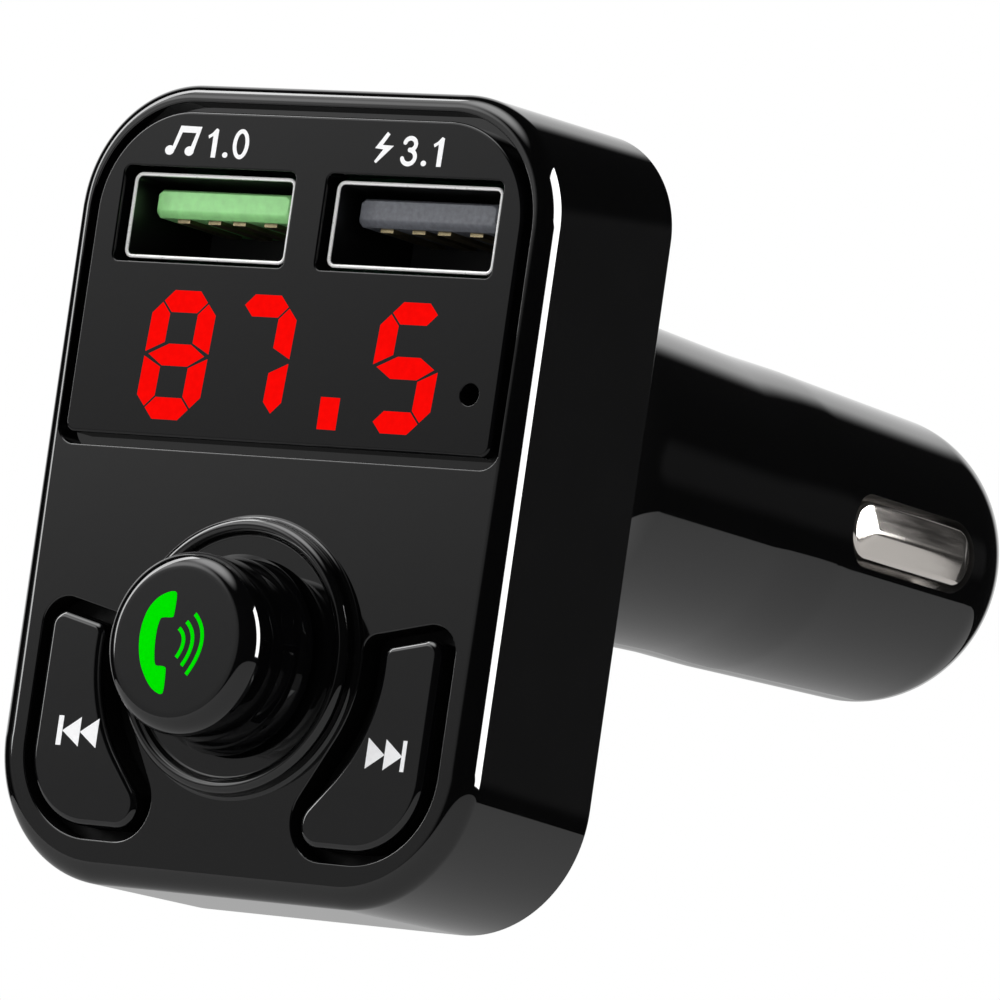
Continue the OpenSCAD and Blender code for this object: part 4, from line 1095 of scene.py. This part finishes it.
class TRANSMITTER_OT_marks(bpy.types.Operator):
    """White and green print: plain numbers and pictograms on the window, the keys and the knob"""
    bl_idname = "transmitter.marks"
    bl_label = "Print"

    def execute(self, context):
        green, white = MATERIALS["green_mark"], MATERIALS["white_mark"]
        zero = [oval(-5.96, 15.18, 0.64, 0.98)[:-1], oval(-5.96, 15.18, 0.34, 0.7)[:-1]]
        point = [oval(-7.13, 14.44, 0.21, 0.18)[:-1]]
        mark("number_left", [one(-8.07, 14.24), point, zero], white, "case", on_window)
        bows = [oval(7.38, 15.62, 0.43, 0.38, 165, -85, 18), oval(7.36, 14.8, 0.5, 0.45, 88, -165, 20)]
        point = [oval(8.58, 14.43, 0.21, 0.18)[:-1]]
        three = [[stroke(b, 0.3)] for b in bows]
        mark("number_right", [one(9.77, 14.25), point] + three, white, "case", on_window)
        bolt = [[5.49, 16.35], [5.71, 16.19], [5.23, 15.5], [6.11, 15.47], [4.89, 14.32], [4.73, 14.43],
                [5.32, 15.22], [4.67, 15.28]]
        mark("bolt_mark", [[bolt]], white, "case", on_window)
        beam = [[-11.47, 14.7], [-10.95, 16.23], [-9.24, 16.2], [-9.68, 14.6], [-10.0, 14.7], [-9.64, 15.79],
                [-10.77, 15.8], [-11.2, 14.65]]
        heads = [[oval(x, z, 0.37, 0.31)[:-1]] for x, z in ((-11.61, 14.62), (-10.03, 14.6))]
        mark("note_mark", [[beam]] + heads, white, "case", on_window)
        prev = [[[-13.55, -24.1], [-13.15, -24.1], [-13.15, -22.2], [-13.55, -22.2]],
                [[-11.73, -24.1], [-11.73, -22.2], [-13.15, -23.15]],
                [[-10.3, -24.1], [-10.3, -22.2], [-11.73, -23.15]]]
        mark("prev_mark", [[p] for p in prev], white, "prev_key", on_keys)
        nxt = [[[10.97, -23.83], [12.34, -22.88], [10.97, -21.88]],
               [[12.34, -23.83], [13.7, -22.88], [12.34, -21.88]],
               [[13.65, -23.83], [13.95, -23.83], [13.95, -21.88], [13.65, -21.88]]]
        mark("next_mark", [[p] for p in nxt], white, "next_key", on_keys)
        self.handset(green)
        return {"FINISHED"}

    def handset(self, green):
        """A telephone handset with blunt ends and three waves beside it."""
        loop = [[-0.62, -14.42], [-0.4, -14.6], [-0.43, -15.98], [-0.52, -16.1], [-1.36, -16.12], [-1.5, -16.3],
                [-1.62, -16.9], [-1.62, -17.8], [-1.5, -18.7], [-1.38, -19.08], [-1.25, -19.2], [-0.85, -19.17],
                [-0.55, -19.22], [-0.45, -19.35], [-0.38, -20.8], [-0.55, -20.95], [-0.77, -20.93],
                [-1.25, -20.72], [-1.75, -20.3], [-2.42, -19.38], [-2.72, -18.6], [-2.86, -17.9],
                [-2.9, -17.2], [-2.82, -16.5], [-2.55, -15.68], [-2.1, -15.1], [-1.65, -14.75], [-1.1, -14.5]]
        mark("handset_mark", [[eased(loop)]], green, "knob", on_cap)
        waves = [[[0.11, -16.73], [0.59, -17.5], [0.21, -18.58]],
                 [[0.63, -16.28], [1.28, -17.46], [0.71, -19.06]],
                 [[1.2, -15.76], [2.01, -17.41], [1.16, -19.59]]]
        t = np.linspace(0, 1, 15)[:, None]
        shapes = []
        for a, b, c in np.array(waves):
            bend = 2 * b - (a + c) / 2
            shapes.append([stroke((1 - t) ** 2 * a + 2 * t * (1 - t) * bend + t ** 2 * c, 0.27, False)])
        mark("wave_mark", shapes, green, "knob", on_cap)


# Kept solids
KEPT = {
    "module": ["display_module", "encoder_body", "prev_switch", "next_switch", "inductor_core", "capacitor"],
    "digit": ["digit_segments"],
    # The port strips take the gilt darkened with painted shade.
    "strip": ["usb_contacts_left", "usb_contacts_right"],
    "gilt": ["header_pins", "spring_seat"],
    "steel": ["encoder_shaft", "crystal", "microphone", "board_screws"],
    "screw": ["case_screws"],
    "pale": ["encoder_rotor", "prev_switch_button", "next_switch_button", "chip_antenna"],
    "board": ["front_board", "power_board"],
    "chip": ["radio_chip", "transmitter_chip", "board_header", "converter_chip", "rectifier"],
    "rubber": ["microphone_boot"],
    "copper": ["inductor_coil"],
}


class TRANSMITTER_OT_inside(bpy.types.Operator):
    """Finishes for the solids that keep their own shape"""
    bl_idname = "transmitter.inside"
    bl_label = "Inner parts"

    def execute(self, context):
        for material, nodes in KEPT.items():
            for node in nodes:
                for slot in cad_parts[node].material_slots:
                    slot.material = MATERIALS[material]
        return {"FINISHED"}


# Stage
def heading(azimuth, rise):
    """The unit direction at an azimuth from +Y towards +X and a rise above the level, in degrees."""
    a, e = np.radians(azimuth), np.radians(rise)
    return float(np.sin(a) * np.cos(e)), float(np.cos(a) * np.cos(e)), float(np.sin(e))


def area_light(name, place, aim, size, power, up):
    """A soft panel at a place in millimetres, facing the aim, with its long side along a direction."""
    lamp = bpy.data.lights.new(name, "AREA")
    lamp.shape = "RECTANGLE"
    lamp.size, lamp.size_y = size[0] * MM, size[1] * MM
    lamp.energy = power
    holder = bpy.data.objects.new(name, lamp)
    back = (place - aim) / np.linalg.norm(place - aim)
    right = np.cross(up, back)
    right /= np.linalg.norm(right)
    up = np.cross(back, right)
    place = place * MM
    holder.matrix_world = Matrix([[right[i], up[i], back[i], place[i]] for i in range(3)] + [[0, 0, 0, 1]])
    bpy.context.scene.collection.objects.link(holder)
    return holder


# Light in the room for gloss: azimuth, rise, near and far angle of the fade, brightness inside, outside
LOBES = [(-42, 12, 26, 38, 0.97, 0.012), (-37, -3, 4, 14, -0.45, 0.0), (-136, 22, 5, 20, 2.2, 0.0),
         (-138, 5, 14, 30, 0.29, 0.0), (-143, 60, 8, 32, 4.0, 0.0), (34, 9, 5, 12, 0.05, 0.0)]
# Panels: name, azimuth and rise of each end, width in millimetres, brightness, and whether only gloss sees it
PANELS = [("Left strip", (-131, 2), (-100, 56), 150, 7.0, False),
          ("Right panel", (63, -4), (63, 46), 600, 18.0, True)]
EVEN_LIGHT = 0.85
FLOOR_Z = -100.0
FLOOR_R = 520.0
FLOOR_IN_GLOSS = 0.5
# The photograph's camera, in millimetres: place, the point it looks at and its roll
CAMERA = np.array([333.72, -484.08, -62.08])
TARGET = np.array([17.97 + 0.08, -47.7, -6.434])
ROLL = -0.143
FOCAL = 8758.84


class TRANSMITTER_OT_stage(bpy.types.Operator):
    """Floor, world, soft panels and the photograph's camera"""
    bl_idname = "transmitter.stage"
    bl_label = "Stage"

    def execute(self, context):
        scene = context.scene
        scene.view_settings.view_transform = "Standard"
        self.world(scene)
        self.floor()
        self.lights()
        self.camera(scene)
        return {"FINISHED"}

    def world(self, scene):
        """White behind the object for the camera, an even light for matt surfaces, and for gloss a dim room
        with a white backdrop and a soft glow at the front left: each lobe fades from its middle with the
        angle."""
        world = bpy.data.worlds.new("Studio")
        world.use_nodes = True
        scene.world = world
        tree = world.node_tree
        tree.nodes.clear()
        add, link = tree.nodes.new, tree.links.new
        path = add("ShaderNodeLightPath")
        way = add("ShaderNodeTexCoord").outputs["Generated"]
        total = None
        for azimuth, rise, near, far, high, low in LOBES:
            dot = add("ShaderNodeVectorMath")
            dot.operation = "DOT_PRODUCT"
            dot.inputs[1].default_value = heading(azimuth, rise)
            link(way, dot.inputs[0])
            angle = add("ShaderNodeMath")
            angle.operation = "ARCCOSINE"
            link(dot.outputs["Value"], angle.inputs[0])
            fade = add("ShaderNodeMapRange")
            fade.interpolation_type = "SMOOTHSTEP"
            for key, value in zip(("From Min", "From Max", "To Min", "To Max"),
                                  (np.radians(near), np.radians(far), high, low)):
                fade.inputs[key].default_value = value
            link(angle.outputs[0], fade.inputs["Value"])
            if total is None:
                total = fade.outputs[0]
            else:
                both = add("ShaderNodeMath")
                link(total, both.inputs[0])
                link(fade.outputs[0], both.inputs[1])
                total = both.outputs[0]
        room = self.background(tree, 1.0)
        link(total, room.inputs["Strength"])
        even = self.background(tree, EVEN_LIGHT)
        white = self.background(tree, 1.0)
        shown = even
        for ray, light in (("Is Glossy Ray", room), ("Is Transmission Ray", room), ("Is Camera Ray", white)):
            mix = add("ShaderNodeMixShader")
            link(path.outputs[ray], mix.inputs["Fac"])
            link(shown.outputs[0], mix.inputs[1])
            link(light.outputs[0], mix.inputs[2])
            shown = mix
        link(shown.outputs[0], add("ShaderNodeOutputWorld").inputs["Surface"])

    def background(self, tree, strength):
        node = tree.nodes.new("ShaderNodeBackground")
        node.inputs["Color"].default_value = (1, 1, 1, 1)
        node.inputs["Strength"].default_value = strength
        return node

    def floor(self):
        """A pale table top below the object, a flat disc, with the object's shadow on it."""
        shell = Shell()
        disc = circle_loop(0, 0, FLOOR_R, 96)[0]
        shell.flat([disc], 0, place=lambda flat, depth: np.stack([flat[..., 0], flat[..., 1] - 30.0,
                                                                  np.full(len(flat), FLOOR_Z)], -1))
        pale = Paint("Pale floor", (0.8, 0.8, 0.8), 0, 0.8).vary_color(40, (0.78, 0.78, 0.78)).bump(200, 0.02)
        add = pale.tree.nodes.new
        dim = add("ShaderNodeBsdfDiffuse")
        dim.inputs["Color"].default_value = (FLOOR_IN_GLOSS, FLOOR_IN_GLOSS, FLOOR_IN_GLOSS, 1)
        mix = add("ShaderNodeMixShader")
        pale.link(add("ShaderNodeLightPath").outputs["Is Glossy Ray"], mix.inputs["Fac"])
        pale.link(pale.bsdf.outputs[0], mix.inputs[1])
        pale.link(dim.outputs[0], mix.inputs[2])
        pale.link(mix.outputs[0], pale.tree.nodes["Material Output"].inputs["Surface"])
        shell.build("floor", [pale.mat])

    def lights(self):
        middle = np.array([0.0, -30.0, -5.0])
        for name, start, end, width, radiance, glossy_only in PANELS:
            a, b = [middle + 900 * np.array(heading(*way)) for way in (start, end)]
            length = np.linalg.norm(b - a)
            size = (width, length)
            power = radiance * np.pi * width * length * MM ** 2
            holder = area_light(name, (a + b) / 2, middle, size, power, b - a)
            holder.visible_diffuse = not glossy_only

    def camera(self, scene):
        data = bpy.data.cameras.new("Photo camera")
        data.sensor_fit = "HORIZONTAL"
        data.sensor_width = 36
        data.lens = FOCAL / 1000 * 36
        data.clip_start = 0.01
        data.clip_end = 10
        ahead = TARGET - CAMERA
        ahead /= np.linalg.norm(ahead)
        right = np.cross(ahead, [0, 0, 1])
        right /= np.linalg.norm(right)
        down = np.cross(ahead, right)
        x_axis = np.cos(ROLL) * right + np.sin(ROLL) * down
        y_axis = np.sin(ROLL) * right - np.cos(ROLL) * down
        holder = bpy.data.objects.new("Photo camera", data)
        place = CAMERA * MM
        rows = [[x_axis[i], y_axis[i], -ahead[i], place[i]] for i in range(3)]
        holder.matrix_world = Matrix(rows + [[0, 0, 0, 1]])
        scene.collection.objects.link(holder)
        scene.camera = holder


OPERATORS = [TRANSMITTER_OT_stage, TRANSMITTER_OT_front, TRANSMITTER_OT_rear, TRANSMITTER_OT_window,
             TRANSMITTER_OT_ports, TRANSMITTER_OT_knob, TRANSMITTER_OT_keys, TRANSMITTER_OT_contacts,
             TRANSMITTER_OT_spring, TRANSMITTER_OT_digits, TRANSMITTER_OT_marks, TRANSMITTER_OT_inside]


class TRANSMITTER_PT_panel(bpy.types.Panel):
    """Lists the steps that dress the transmitter"""
    bl_label = "Transmitter"
    bl_idname = "TRANSMITTER_PT_panel"
    bl_space_type = "VIEW_3D"
    bl_region_type = "UI"
    bl_category = "Transmitter"

    def draw(self, context):
        for group in (context.scene.transmitter_look, context.scene.transmitter_sizes):
            for key in group.__annotations__:
                self.layout.prop(group, key)
        for operator in OPERATORS:
            self.layout.operator(operator.bl_idname)


CLASSES = [LookSettings, SizeSettings, *OPERATORS, TRANSMITTER_PT_panel]


def register():
    for cls in CLASSES:
        bpy.utils.register_class(cls)
    bpy.types.Scene.transmitter_look = PointerProperty(type=LookSettings)
    bpy.types.Scene.transmitter_sizes = PointerProperty(type=SizeSettings)


def unregister():
    del bpy.types.Scene.transmitter_sizes
    del bpy.types.Scene.transmitter_look
    for cls in reversed(CLASSES):
        bpy.utils.unregister_class(cls)


def main():
    register()
    make_materials(bpy.context.scene.transmitter_look)
    for operator in OPERATORS:
        group, name = operator.bl_idname.split(".")
        getattr(getattr(bpy.ops, group), name)()


if __name__ == "__main__":
    main()
